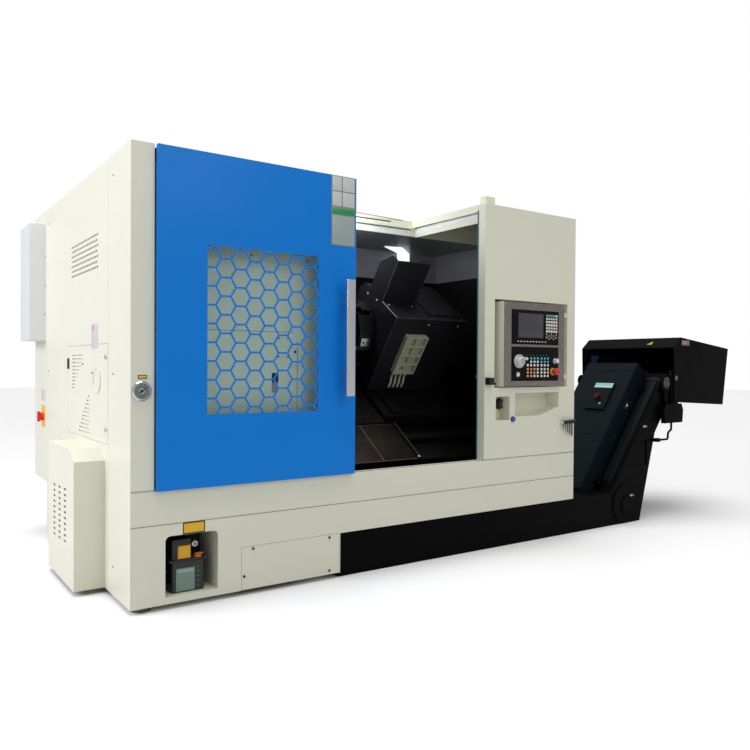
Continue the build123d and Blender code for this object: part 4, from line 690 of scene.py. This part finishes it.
def hose(name, body, slot, points, radius, material):
    """A bent tube through the given points, in millimetres."""
    curve = bpy.data.curves.new(name, "CURVE")
    curve.dimensions = "3D"
    curve.bevel_depth = radius * MM
    curve.bevel_resolution = 4
    curve.use_fill_caps = True
    line = curve.splines.new("NURBS")
    line.points.add(len(points) - 1)
    for point, place in zip(line.points, points):
        point.co = (*at(*place), 1.0)
    line.order_u = 3
    line.use_endpoint_u = True
    curve.materials.append(bpy.data.materials[material])
    made = new_object(name, curve)
    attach(made, body)


def inlay(piece, x, face, z, tone):
    """A thin colour field on a blank plate that faces forward."""
    piece.block(x, (face - 1.4, face - 0.9), z, tone, 0.1)


def front_plate(piece, x, face, z, field, border=None, margin=4.0):
    """A blank plate on a surface that faces forward: a coloured field, bordered or not."""
    thick = sizes().plate / MM
    piece.block(x, (face - thick, face), z, border or field)
    if border:
        piece.block((x[0] + margin, x[1] - margin), (face - thick - 0.3, face - thick + 0.1),
                    (z[0] + margin, z[1] - margin), field, 0.1)


def side_plate(piece, y, face, z, field):
    """A blank plate on a surface that faces left."""
    piece.block((face - sizes().plate / MM, face), y, z, field)


class LATHE_OT_finishes(Operator):
    """Gives every solid its finish"""

    bl_idname = "lathe.finishes"
    bl_label = "Finishes"

    def execute(self, context):
        make_materials()
        colour_work_area()
        colour_fittings()
        for material, names in NODE_MATERIALS.items():
            for name in names.split():
                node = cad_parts[name]
                node.data.materials.clear()
                node.data.materials.append(bpy.data.materials[material])
        return {"FINISHED"}


class LATHE_OT_door_trim(Operator):
    """Blank information plate, handle fixings and foot guides of the sliding door"""

    bl_idname = "lathe.door_trim"
    bl_label = "Door trim"

    def execute(self, context):
        low, high = reach("door_panel")
        face = low.y
        plate = Piece("door_plate", "door", "white_plastic")
        left = high.x - 139
        front_plate(plate, (left, left + 132), face, (high.z - 327, high.z - 1), "plate_sage")
        for tone, x, z in (
            ("plate_pale", (6, 56), (70, 4)), ("plate_pale", (62, 127), (70, 4)),
            ("plate_pale", (6, 56), (142, 76)), ("plate_pale", (62, 127), (142, 76)),
            ("plate_green", (4, 128), (180, 154)), ("plate_mist", (4, 128), (322, 186)),
        ):
            inlay(plate, (left + x[0], left + x[1]), face, (high.z - z[0], high.z - z[1]), tone)
        plate.done()
        trim = Piece("door_fixings", "door", "steel")
        handle_low, handle_high = reach("door_handle")
        for z in (handle_low.z + 96, handle_high.z - 96):
            trim.ring((high.x - 62, face, z), FRONT, 2, 9, 2.5, "bright_chrome", 24)
        foot = (low.z - 1.5, low.z + 3)
        trim.block((low.x + 6, high.x - 6), (face + 5, face + 11), foot, "ground_steel")
        trim.done()
        return {"FINISHED"}


class LATHE_OT_window_liner(Operator):
    """Seams and fixings of the sheet behind the door's window, and its slot drawn as a black field
    of painted shade
    """

    bl_idname = "lathe.window_liner"
    bl_label = "Window liner"

    def execute(self, context):
        liner = Piece("liner_seams", "machine", "liner_beige")
        face = 80.0
        seam, patch, field = (face - 0.5, face + 0.2), (face - 2.0, face), (face - 1.2, face)
        big, small = sizes().screw / MM, sizes().small_screw / MM
        liner.edges(((351, 776), seam, (1139.4, 1141.8), "seam_shadow"),
                    ((795, 797.4), seam, (771, 1099), "seam_shadow"))
        liner.block((690, 752), patch, (1020, 1120), "liner_paint")
        corners = [(x, patch[0], z) for x in (697, 745) for z in (1027, 1113)]
        liner.screws(corners, FRONT, small, "black_oxide")
        # The slot: a black field of painted shade, with a grey field below it
        liner.block((664, 697), field, (908, 952), "plate_black")
        liner.block((664, 697), field, (861, 907.5), "grey_key")
        liner.screw((784, face, 1050), FRONT, big)
        liner.screws([(x, face, z) for x in (330, 560, 850) for z in (800, 1480)], FRONT, small)
        liner.done()
        return {"FINISHED"}


class LATHE_OT_blank_plates(Operator):
    """Blank plates on the housing, the lubricator and the conveyor's hood"""

    bl_idname = "lathe.blank_plates"
    bl_label = "Blank plates"

    def execute(self, context):
        housing = Piece("housing_plates", "machine", "white_plastic")
        front_plate(housing, (217, 313), 0, (281, 329), "plate_yellow", "plate_black", 4.5)
        front_plate(housing, (29.5, 65.6), 0, (928.5, 944.7), "plate_yellow", "plate_black", 3.0)
        side_plate(housing, (1690, 1796), 0, (612, 742), "plate_yellow")
        side_plate(housing, (1690, 1796), 0, (766, 834), "plate_pale")
        side_plate(housing, (500, 612), 0, (1060, 1172), "plate_pale")
        housing.block((-1.5, -0.9), (565, 605), (1143, 1166), "plate_pink", 0.1)
        housing.done()
        pump = Piece("pump_plates", "machine", "white_plastic")
        pump_face, tank_face = reach("lubricator_pump")[0].y + 4, reach("lubricator_tank")[0].y
        front_plate(pump, (212, 268), pump_face, (166, 222), "plate_yellow", "plate_amber")
        front_plate(pump, (200, 281), tank_face, (34, 130), "plate_sage")
        inlay(pump, (206, 275), tank_face, (112, 124), "plate_mist")
        pump.done()
        hood = Piece("hood_plates", "machine", "white_plastic")
        face = reach("conveyor_hood")[0].y
        front_plate(hood, (3722, 3812), face, (1140, 1176), "plate_brown")
        for x in (3728, 3759):
            inlay(hood, (x, x + 22), face, (1151, 1167), "plate_sand")
        front_plate(hood, (3650, 3676), face, (902, 932), "plate_olive")
        corners = [(3657, 160, 1147.5), (3657, 200, 1147.5),
                   (3678, 172, 1165.6), (3678, 160, 1165.6)]
        hood.prism(corners, (-0.65, 0, 0.76), "plate_lime")
        hood.done()
        return {"FINISHED"}


class LATHE_OT_panel_screws(Operator):
    """Screws, locks and seams of the housing's sheets, and the backing of its vent"""

    bl_idname = "lathe.panel_screws"
    bl_label = "Panel screws"

    def execute(self, context):
        big, small = sizes().screw / MM, sizes().small_screw / MM
        front = Piece("front_screws", "machine", "steel")
        front.screws([(536, 0, 178), (929, 0, 176), (494, 0, 61), (929, 0, 20)], FRONT, big)
        wide, deep = (0.5, 2654), (-0.4, 0.2)
        front.edges(*((wide, deep, (z - 1.1, z + 1.1), "seam_shadow") for z in (330, 475)))
        front.done()
        side = Piece("side_screws", "machine", "steel")
        side.screws([(-3, y, z) for z in (1613, 1446, 1277) for y in (1667, 1976)], LEFT, small)
        corners = ((250, 946), (250, 120), (250, 1790), (1590, 1790), (1590, 946), (1590, 150))
        side.screws([(0, y, z) for y, z in corners], LEFT, small)
        side.done()
        door = Piece("belt_door_fixings", "belt_door", "steel")
        door.block((5.5, 7), (345, 1090), (650, 1065), "vent_backing")
        door.screws([(-2, 779, 987), (-2, 597, 946)], LEFT, small, "black_oxide")
        for z in (700, 1020):
            door.ring((-2, 362, z), LEFT, 3, 12, 3, "bright_chrome", 24)
        door.done()
        right = Piece("right_screws", "machine", "steel")
        side = reach("right_side_panel")[1].x
        rows = [(side, y, z) for y in (150, 600, 1050, 1500) for z in (520, 1180, 1830)]
        right.screws(rows, RIGHT, small)
        right.done()
        rear = Piece("rear_screws", "machine", "steel")
        panel, cabinet = reach("rear_panel")[1].y, reach("electrical_cabinet")[1].y - 2.6
        rows = [(x, panel, z) for x in (1600, 2120, 2600) for z in (90, 900, 1830)]
        rows += [(x, cabinet, z) for x in (30, 500, 1000, 1470) for z in (340, 1840)]
        rear.screws(rows, BACK, small)
        rear.done()
        return {"FINISHED"}


class LATHE_OT_control_fittings(Operator):
    """Bright frame, screen, key caps and lamps of the swivelling control"""

    bl_idname = "lathe.control_fittings"
    bl_label = "Control fittings"

    def execute(self, context):
        box_low = reach("control_box")[0]
        screen_low, screen_high = reach("display_unit")
        panel_low, panel_high = reach("operator_panel")
        left, right = screen_low.x, screen_high.x
        self.bright_frame(box_low, left, right, screen_low, screen_high, panel_low, panel_high)
        self.display(left, right - left, screen_low, screen_high)
        self.keys(left, right - left, panel_low)
        self.switches(left, right, panel_low)
        return {"FINISHED"}

    def bright_frame(self, low, left, right, screen_low, screen_high, panel_low, panel_high):
        face = Piece("control_frame", "control", "stainless")
        y = (low.y - 0.8, low.y)
        outer = (low.x, right + 53)
        levels = (low.z, panel_low.z - 1, panel_high.z + 1,
                  screen_low.z - 1, screen_high.z + 1, screen_high.z + 41)
        for z in (levels[0:2], levels[2:4], levels[4:6]):
            face.edges((outer, y, z, "brushed_frame"))
        for z in (levels[1:3], levels[3:5]):
            face.edges(((outer[0], left - 1), y, z, "brushed_frame"),
                       ((right + 1, outer[1]), y, z, "brushed_frame"))
        places = ((2044, 1335), (2273, 1335), (2502, 1335), (2044, 1110),
                  (2502, 1110), (2044, 892), (2273, 890), (2502, 892))
        small = sizes().small_screw / MM
        face.screws([(x, y[0], z) for x, z in places], FRONT, small, "bright_chrome")
        face.done()

    def display(self, left, span, low, high):
        unit = Piece("display_fittings", "control", "black_plastic")
        pane = (left + 0.13 * span, left + 0.67 * span)
        unit.block(pane, (-36.4, -35.1), (low.z + 38, high.z - 18), "screen_glass", 0.3)
        columns = [left + (0.715 + 0.0525 * column) * span for column in range(5)]
        for row in range(6):
            top = high.z - 20 - 18 * row
            for column, x in enumerate(columns):
                tone = "pink_key" if row in (1, 4) else "white_key"
                if row == 0 and column < 4:
                    tone = "cyan_key"
                self.cap(unit, x, 16, low.y, (top - 13, top), tone)
        for top in (1181, 1163):
            for column, x in enumerate(columns):
                z = (top - 19, top - 10) if column % 2 else (top - 11, top)
                self.cap(unit, x, 14, CONTROL_FACE, z, "grey_key")
        for column in range(10):
            x = left + (0.105 + 0.0645 * column) * span
            self.cap(unit, x + 1, 12, low.y, (low.z + 13, low.z + 19), "white_key")
        unit.done()

    def keys(self, left, span, low):
        panel = Piece("operator_keys", "control", "white_plastic")
        for row in range(6):
            z = low.z + 122 - 19.5 * row - (3 if row > 2 else 0)
            for column in range(7):
                if row < 2 and column == 0:
                    continue
                x = left + (0.307 + 0.071 * column + (0.01 if column > 3 else 0)) * span
                self.cap(panel, x, 15.2, KEY_FACE, (z, z + 13), self.key_tone(row, column))
        panel.done()

    def key_tone(self, row, column):
        if row == 0 or (row == 1 and column > 3):
            return "cyan_key"
        if row > 2 and column < 3 - (row == 5):
            return "amber_key"
        return "white_key"

    def cap(self, piece, x, width, face, z, tone):
        """A key cap, a little smaller than the key under it."""
        height, ease = sizes().cap / MM, 0.4
        piece.block((x + ease, x + width - ease), (face - height, face + 0.1),
                    (z[0] + ease, z[1] - ease), tone, 0.25)

    def switches(self, left, right, low):
        parts = Piece("control_collars", "control", "white_plastic")
        # Place, inner and outer radius, height and material of each collar
        for x, z, *collar in (
            (right - 49, 53, 13.6, 21.6, 5.6, "yellow_plastic"),
            (right - 32, 115, 8.2, 17.4, 4.3, "bright_chrome"),
            (left + 47, 37, 10.4, 14.5, 5, "bright_chrome"),
            (left + 51, 111, 38.6, 42, 4, "panel_face"),
        ):
            parts.ring((x, CONTROL_FACE, low.z + z), FRONT, *collar)
        for column in range(7):
            lamp = (left + 118 + 27 * column, CONTROL_FACE, low.z + 146)
            parts.disc(lamp, FRONT, 2.2, 1.0, "grey_key", 0.3, 12)
        parts.done()
        wheel = Piece("handwheel_scale", "handwheel", "white_plastic")
        x, z, face = left + 51, low.z + 111, -50.4
        wheel.ring((x, face, z), FRONT, 25, 36.5, 0.8, "handle_metal")
        for step in range(20):
            turn = 2 * pi * step / 20
            inner, outer = around(x, face - 0.8, z, 31, turn), around(x, face - 0.8, z, 35.5, turn)
            wheel.strip(inner, outer, 1.2, 0.2, FRONT, "plate_black")
        wheel.ring((x, -72.4, z), FRONT, 3, 19, 0.8, "bright_chrome")
        wheel.done()
        pointer = Piece("override_pointer", "override", "white_plastic")
        pointer.disc((right - 32, -62.4, low.z + 115), FRONT, 11.5, 0.8, "white_key")
        pointer.done()


class LATHE_OT_work_lamp(Operator):
    """Lit pane of the work lamp, let into the rear wall and the ceiling"""

    bl_idname = "lathe.work_lamp"
    bl_label = "Work lamp"

    def execute(self, context):
        wall = reach("rear_wall")[0].y
        lamp = Piece("work_lamp", "machine", "clear")
        corners = [(2206, 1784), (2314, 1784), (2314, 1732), (2212, 1731)]
        lamp.prism([(x, wall - 3, z) for x, z in corners], (0, 3, 0), "lamp_pane")
        ceiling = reach("roof")[0].z
        corners = [(1981, 1044), (2106, 1011), (2314, wall - 0.5), (2206, wall - 0.5)]
        lamp.prism([(x, y, ceiling - 2) for x, y in corners], (0, 0, 2), "lamp_pane")
        lamp.done()
        return {"FINISHED"}


class LATHE_OT_cabinet_fittings(Operator):
    """Socket, button collar and seal of the right cabinet, and strips along the back beam and the
    right side's top: rails, painted highlights and painted shadow lines
    """

    bl_idname = "lathe.cabinet_fittings"
    bl_label = "Cabinet fittings"

    def execute(self, context):
        left = reach("right_cabinet")[0].x
        parts = Piece("cabinet_fittings", "machine", "black_plastic")
        x, y, z = left + 186, 78.0, 775.0
        shell = [(27, 0), (27, 8), (24, 10), (24, 26), (20, 28), (18, 28), (18, 18), (0, 18)]
        parts.turned((x, y, z), FRONT, shell, "black_plastic")
        parts.ring((x, y, z), FRONT, 24.5, 31, 5, "panel_face")
        for turn in (0.5, 2.6, 4.7):
            parts.disc(around(x, y - 18, z, 9, turn), FRONT, 2.2, 8, "turned_steel", 0.4, 12)
        button = centre("blue_button")
        parts.ring((button.x, 0, button.z), FRONT, 12.6, 15.5, 7, "black_plastic")
        parts.done()
        seals = Piece("seals_and_painted_edge_light", "machine", "black_plastic")
        seals.block((left - 3, left), (54, 62), (476, 1850), "seal_rubber_and_shadow_line", 0.8)
        back, side = 655, 1938
        # The pale strips are painted highlights and the teal ones painted shadow lines along the
        # beam's edges
        # Strips across the back beam: z at the left, x and z at the right, width, height, material
        for z0, x1, z1, width, height, tone in (
            (1827, 1898, 1829, 5, 3, "seal_rubber_and_shadow_line"), (1806, 1900, 1806, 26, 1.5, "edge_highlight_strip"),
            (1889.5, 1843, 1880, 4, 1.5, "rail_brown"), (1862, 1749, 1863.5, 6, 2, "rail_blue"),
        ):
            seals.strip((1400, back, z0), (x1, back, z1), width, height, FRONT, tone)
        # Along the right side's top: a pale strip of painted highlight and a teal painted shadow
        # line
        seals.strip((side, 650, 1819), (side, 86, 1833), 24, 1.5, LEFT, "edge_highlight_strip")
        seals.strip((side, 650, 1842), (side, 86, 1854), 6, 2.5, LEFT, "seal_rubber_and_shadow_line")
        seals.done()
        return {"FINISHED"}


class LATHE_OT_gauge_face(Operator):
    """Dial, marks and glass of the pressure gauge"""

    bl_idname = "lathe.gauge_face"
    bl_label = "Pressure gauge"

    def execute(self, context):
        x, _, z = centre("pressure_gauge")
        dial = Piece("gauge_dial", "machine", "white_plastic")
        dial.ring((x, -6, z), FRONT, 3.2, 31.8, 0.5, "dial_grey", 48)
        for step in range(28):
            turn = radians(225 - 10 * step)
            inner, width = (26, 0.7) if step % 3 else (22, 1.4)
            start, end = around(x, -6.5, z, inner, turn), around(x, -6.5, z, 29, turn)
            dial.strip(start, end, width, 0.15, FRONT, "dial_white")
        dial.ring((x, -6.5, z), FRONT, 8, 12, 0.15, "dial_white", 36)
        dial.done()
        glass = Piece("gauge_glass", "machine", "clear")
        pane = [(0, 0), (31.6, 0), (31.6, 0.3), (31.3, 0.6), (0, 0.6)]
        glass.turned((x, -10.9, z), FRONT, pane, "dial_glass", 48)
        glass.done()
        return {"FINISHED"}


class LATHE_OT_lubricator(Operator):
    """Filler cap, level marks, gauge and oil line of the lubricator"""

    bl_idname = "lathe.lubricator"
    bl_label = "Lubricator"

    def execute(self, context):
        tank_low, tank_high = reach("lubricator_tank")
        pump_low, pump_high = reach("lubricator_pump")
        parts = Piece("lubricator_fittings", "machine", "black_plastic")
        parts.ring((303, 62, tank_high.z + 0.3), UP, 12, 18.4, 15, "orange_plastic", 24)
        parts.block((286, 322), (43.6, 46), (178.6, 184.6), "orange_plastic")
        gauge = (287, pump_low.y + 6.5, 224)
        parts.ring(gauge, FRONT, 9.5, 13, 5, "bright_chrome", 24)
        parts.disc(gauge, FRONT, 9.5, 3, "dial_grey", 0.3, 24)
        levels = [tank_low.z + 20 + level * 20 for level in range(5)]
        marks = (tank_low.y - 0.6, tank_low.y)
        parts.edges(*(((291, 301), marks, (z, z + 1.6), "grey_key") for z in levels))
        parts.done()
        start = [(228, 96, pump_high.z - 2), (228, 96, 268), (226, 108, 282)]
        points = start + [(196, 150, 286), (186, 205, 284)]
        hose("oil_line", "machine", "black_plastic", points, sizes().hose / MM, "dark_rubber")
        return {"FINISHED"}


class LATHE_OT_conveyor_trim(Operator):
    """Side strips, clamps, end discs and fixings of the chip conveyor"""

    bl_idname = "lathe.conveyor_trim"
    bl_label = "Conveyor trim"

    def execute(self, context):
        small = sizes().small_screw / MM
        strips = Piece("conveyor_strips", "machine", "dark_sheet", INCLINE)
        for y in (48, 598):
            strips.block((90, 930), (y, y + 70), (0.6, 2.4), "conveyor_strip")
        rows = [(along, y, 2.4) for along in range(130, 930, 130) for y in (60, 656)]
        strips.screws(rows, UP, small, "black_oxide")
        strips.block((52, 104), (104, 146), (2.5, 30), "conveyor_paint", 2.0)
        strips.block((400, 720), (148.8, 150), (24, 30), "conveyor_strip")
        strips.screws([(along, 148.8, 27) for along in (420, 560, 700)], FRONT, small)
        box_top = 142
        strips.block((732, 771), (249, 398), (box_top, box_top + 1.2), "plate_cyan")
        strips.block((735, 748), (256, 391), (box_top + 1.1, box_top + 1.5), "dial_white", 0.1)
        strips.ring((654, 331, box_top), UP, 20.4, 27, 3.5, "plate_black")
        strips.ring((600, 290, box_top), UP, 0.1, 8, 3.5, "bright_chrome", 24)
        strips.done()
        ends = Piece("conveyor_ends", "machine", "dark_casting")
        self.toggle(ends, (3372, 12, 597))
        self.toggle(ends, (3228, 5, 155))
        for x, y, z in (
            ((3619, 3700), (-22, -16), (722, 966)), ((3585, 3625), (-22, -16), (927, 966)),
            ((3596, 3624), (-9, -3), (745, 818)),
        ):
            ends.block(x, y, z, "conveyor_paint", 1.5)
        ends.done()
        x, _, z = centre("conveyor_shaft")
        y = reach("conveyor_shaft")[0].y
        bearing = Piece("bearing_housing", "machine", "dark_casting")
        bearing.ring((x, y - 0.5, z), FRONT, 39.5, 62, 6, "conveyor_paint", 40)
        bearing.done()
        cap = Piece("shaft_cap", "conveyor_shaft", "steel")
        cap.disc((x, y, z), FRONT, 38, 5, "bearing_grey", 1.0, 36)
        places = [around(x, y - 5, z, 24, turn) for turn in (0.4, 2.5, 4.6)]
        cap.screws(places, FRONT, small, "black_oxide")
        cap.done()
        gusset = Piece("cover_gusset", "machine", "dark_sheet")
        corners = ((3521.7, 1071.5), (3608.3, 1072.7), (3552.6, 981.8), (3522.7, 1008.2))
        gusset.prism([(x, 566, z) for x, z in corners], (0, 3, 0), "conveyor_blue")
        gusset.done()
        latch = Piece("cover_clamp", "machine", "steel", INCLINE)
        latch.block((622, 676), (143, 150), (44, 62), "chain_steel", 1.5)
        latch.turned((649, 146, 53), FRONT, [(9, 0), (9, 6), (6, 10), (0, 10)], "bright_chrome", 20)
        latch.done()
        return {"FINISHED"}

    def toggle(self, piece, place):
        """A toggle latch on the conveyor's side."""
        x, y, z = place
        piece.block((x - 20, x + 20), (y - 4, y), (z - 9, z + 9), "chain_steel", 1.2)
        stud = [(7, 0), (7, 5), (5, 7), (0, 7)]
        piece.turned((x - 12, y - 4, z), FRONT, stud, "bright_chrome", 18)
        piece.block((x - 6, x + 22), (y - 7.5, y - 4), (z - 4, z + 4), "turned_steel", 1.2)


class LATHE_OT_turret_trim(Operator):
    """Painted highlights along the turret's worn edges and on its screws, a tool clamp on the
    turret, and painted highlights along the tray's edges
    """

    bl_idname = "lathe.turret_trim"
    bl_label = "Turret trim"

    def execute(self, context):
        left = reach("turret_housing")[1].x - 510
        edge = (left - 1, left)
        trim = Piece("turret_edges", "cross_slide", "steel", BED)
        # Light strips along the housing's edges: painted highlights where its worn edges catch the
        # light
        trim.edges(
            (edge, (970, 973.5), (352, 849), "worn_edge_highlight"),
            (edge, (973.5, 1143), (845, 850), "bare_edge_highlight"),
            ((left, left + 508), (969, 970), (847, 850), "worn_edge_highlight"),
            (edge, (1144, 1148), (852, 1106), "worn_edge_highlight"),
            ((left + 231, left + 233), (1143, 1144), (852, 1106), "worn_edge_highlight"),
        )
        # Screw heads in a light tone: painted glints
        trim.screws([(x, 970, 812) for x in (left + 239, left + 460)], FRONT, 6, "bare_edge_highlight")
        trim.screws([(x, 1104, 850) for x in (left + 21, left + 185)], UP, 6, "bare_edge_highlight")
        trim.screws([(left, 1297, 809), (left, 1196, 826)], LEFT, 6, "bare_edge_highlight")
        trim.done()
        station = BED @ Matrix.Translation((1430, 1259, 568)) @ Matrix.Rotation(radians(75), 4, "X")
        clamp = Piece("tool_clamp", "turret", "steel", station)
        clamp.block((8, 66), (-24, 24), (193.2, 209), "turned_steel", 2.0)
        clamp.screws([(22, 0, 209), (52, 0, 209)], UP, 6.5, "black_oxide")
        # A light ring: a painted glint on the tool
        clamp.ring((-0.5, -44, 176), LEFT, 6, 11, 3, "bare_edge_highlight", 20)
        clamp.done()
        tray = Piece("tray_edges", "machine", "steel", BED)
        whole, bar = (934, 1590), (1602, 1605)
        # Light strips along the tray's edges and the wiper bar: painted highlights
        tray.edges(
            (whole, (420.2, 421), (297, 300.4), "tray_edge_highlight"),
            (bar, (421, 714), (310, 310.6), "worn_edge_highlight"),
            ((1590, 1605), (421, 432), (310, 310.8), "bare_edge_highlight"),
            ((1367, 1369), (421, 713), (298, 300.3), "tray_edge_highlight"),
            ((1143, 1145), (421, 713), (296, 298.3), "tray_edge_highlight"),
            (whole, (712, 714), (300, 300.6), "worn_edge_highlight"),
        )
        tray.screws([(x, 440, 300) for x in (1180, 1400, 1570)], UP, 5, "black_oxide")
        tray.done()
        return {"FINISHED"}


class LATHE_OT_studio(Operator):
    """Camera, floor and soft lights"""

    bl_idname = "lathe.studio"
    bl_label = "Studio"

    def execute(self, context):
        settings = context.scene.studio_settings
        self.camera(context, settings)
        self.floor(settings)
        self.lights(context, settings)
        return {"FINISHED"}

    def camera(self, context, settings):
        turn, tilt, roll = settings.camera_turn, settings.camera_tilt, settings.camera_roll
        forward = Vector((sin(turn) * cos(tilt), cos(turn) * cos(tilt), sin(tilt)))
        right = Vector((cos(turn), -sin(turn), 0.0))
        up = right.cross(forward)
        across = right * cos(roll) + up * sin(roll)
        above = up * cos(roll) - right * sin(roll)
        data = bpy.data.cameras.new("camera")
        data.lens = settings.camera_lens
        data.sensor_width = 36.0
        camera = new_object("camera", data)
        camera.matrix_world = Matrix((across, above, -forward)).transposed().to_4x4()
        camera.location = CORNER + Vector(settings.camera_place)
        context.scene.camera = camera

    def floor(self, settings):
        mesh = bmesh.new()
        bmesh.ops.create_grid(mesh, x_segments=1, y_segments=1, size=30.0)
        data = bpy.data.meshes.new("studio_floor")
        mesh.to_mesh(data)
        mesh.free()
        data.materials.append(self.floor_material(settings.floor, settings.floor_bounce))
        made = new_object("studio_floor", data)
        made.location = (0, 0, cad_box[0][2] - 0.0005)

    def floor_material(self, tone, bounce):
        """Pale floor that gives less light back to the machine than to the camera."""
        paint("floor_paint", tone, 0.99, 0.55, 0.65, 40.0)
        material = bpy.data.materials["floor_paint"]
        tree = material.node_tree
        socket = tree.nodes["Principled BSDF"].inputs["Base Color"]
        share = self.camera_share(tree, bounce)
        tree.links.new(shade(tree, socket.links[0].from_socket, share), socket)
        return material

    def camera_share(self, tree, others):
        """1 for what the camera sees, and a smaller share for all other light."""
        seen = tree.nodes.new("ShaderNodeLightPath").outputs["Is Camera Ray"]
        values = {0: seen, 1: 1.0 - others, 2: others}
        return add_node(tree, "ShaderNodeMath", values, operation="MULTIPLY_ADD")[0]

    def lights(self, context, settings):
        world = bpy.data.worlds.new("studio")
        world.use_nodes = True
        tree = world.node_tree
        background = tree.nodes["Background"].inputs
        background["Color"].default_value = (1.0, 1.0, 1.0, 1.0)
        tree.links.new(self.camera_share(tree, settings.surround), background["Strength"])
        context.scene.world = world
        key_place, key_target = at(-4600, 1000, 3200), at(0, 700, 1100)
        self.area("key_light", key_place, key_target, 2.8, settings.key_power, settings.key_tint)
        self.area("fill_light", at(1700, -5200, 4200), at(1700, 0, 1300), 3.0, settings.fill_power)
        self.area("work_light", at(1250, 520, 1760), at(1800, 1100, 1560), 0.4, settings.work_power)
        self.overhead(settings.overhead)

    def overhead(self, power):
        data = bpy.data.lights.new("overhead_light", "SUN")
        data.energy = power
        data.angle = radians(50)
        new_object("overhead_light", data).location = at(1500, 500, 4000)

    def area(self, name, place, target, size, power, tint=(1.0, 1.0, 1.0)):
        data = bpy.data.lights.new(name, "AREA")
        data.shape = "SQUARE"
        data.size = size
        data.energy = power
        data.color = tint
        light = new_object(name, data)
        light.rotation_euler = (target - place).to_track_quat("-Z", "Y").to_euler()
        light.location = place
        light.visible_camera = False


class LATHE_PT_panel(Panel):
    """Lists the steps that dress the lathe."""

    bl_label = "Lathe"
    bl_idname = "LATHE_PT_panel"
    bl_space_type = "VIEW_3D"
    bl_region_type = "UI"
    bl_category = "Lathe"

    def draw(self, context):
        for step in STEPS:
            self.layout.operator(step.bl_idname)


STEPS = (
    LATHE_OT_finishes, LATHE_OT_door_trim, LATHE_OT_window_liner, LATHE_OT_blank_plates,
    LATHE_OT_panel_screws, LATHE_OT_control_fittings, LATHE_OT_work_lamp, LATHE_OT_cabinet_fittings,
    LATHE_OT_gauge_face, LATHE_OT_lubricator, LATHE_OT_conveyor_trim, LATHE_OT_turret_trim,
    LATHE_OT_studio,
)
GROUPS = (LatheColours, LatheSizes, StudioSettings)
CLASSES = GROUPS + STEPS + (LATHE_PT_panel,)


def register():
    for item in CLASSES:
        bpy.utils.register_class(item)
    bpy.types.Scene.lathe_colours = PointerProperty(type=LatheColours)
    bpy.types.Scene.lathe_sizes = PointerProperty(type=LatheSizes)
    bpy.types.Scene.studio_settings = PointerProperty(type=StudioSettings)


def unregister():
    del bpy.types.Scene.studio_settings
    del bpy.types.Scene.lathe_sizes
    del bpy.types.Scene.lathe_colours
    for item in reversed(CLASSES):
        bpy.utils.unregister_class(item)


def main():
    register()
    bpy.context.scene.view_settings.view_transform = "Standard"
    for step in STEPS:
        area, name = step.bl_idname.split(".")
        getattr(getattr(bpy.ops, area), name)()


if __name__ == "__main__":
    main()
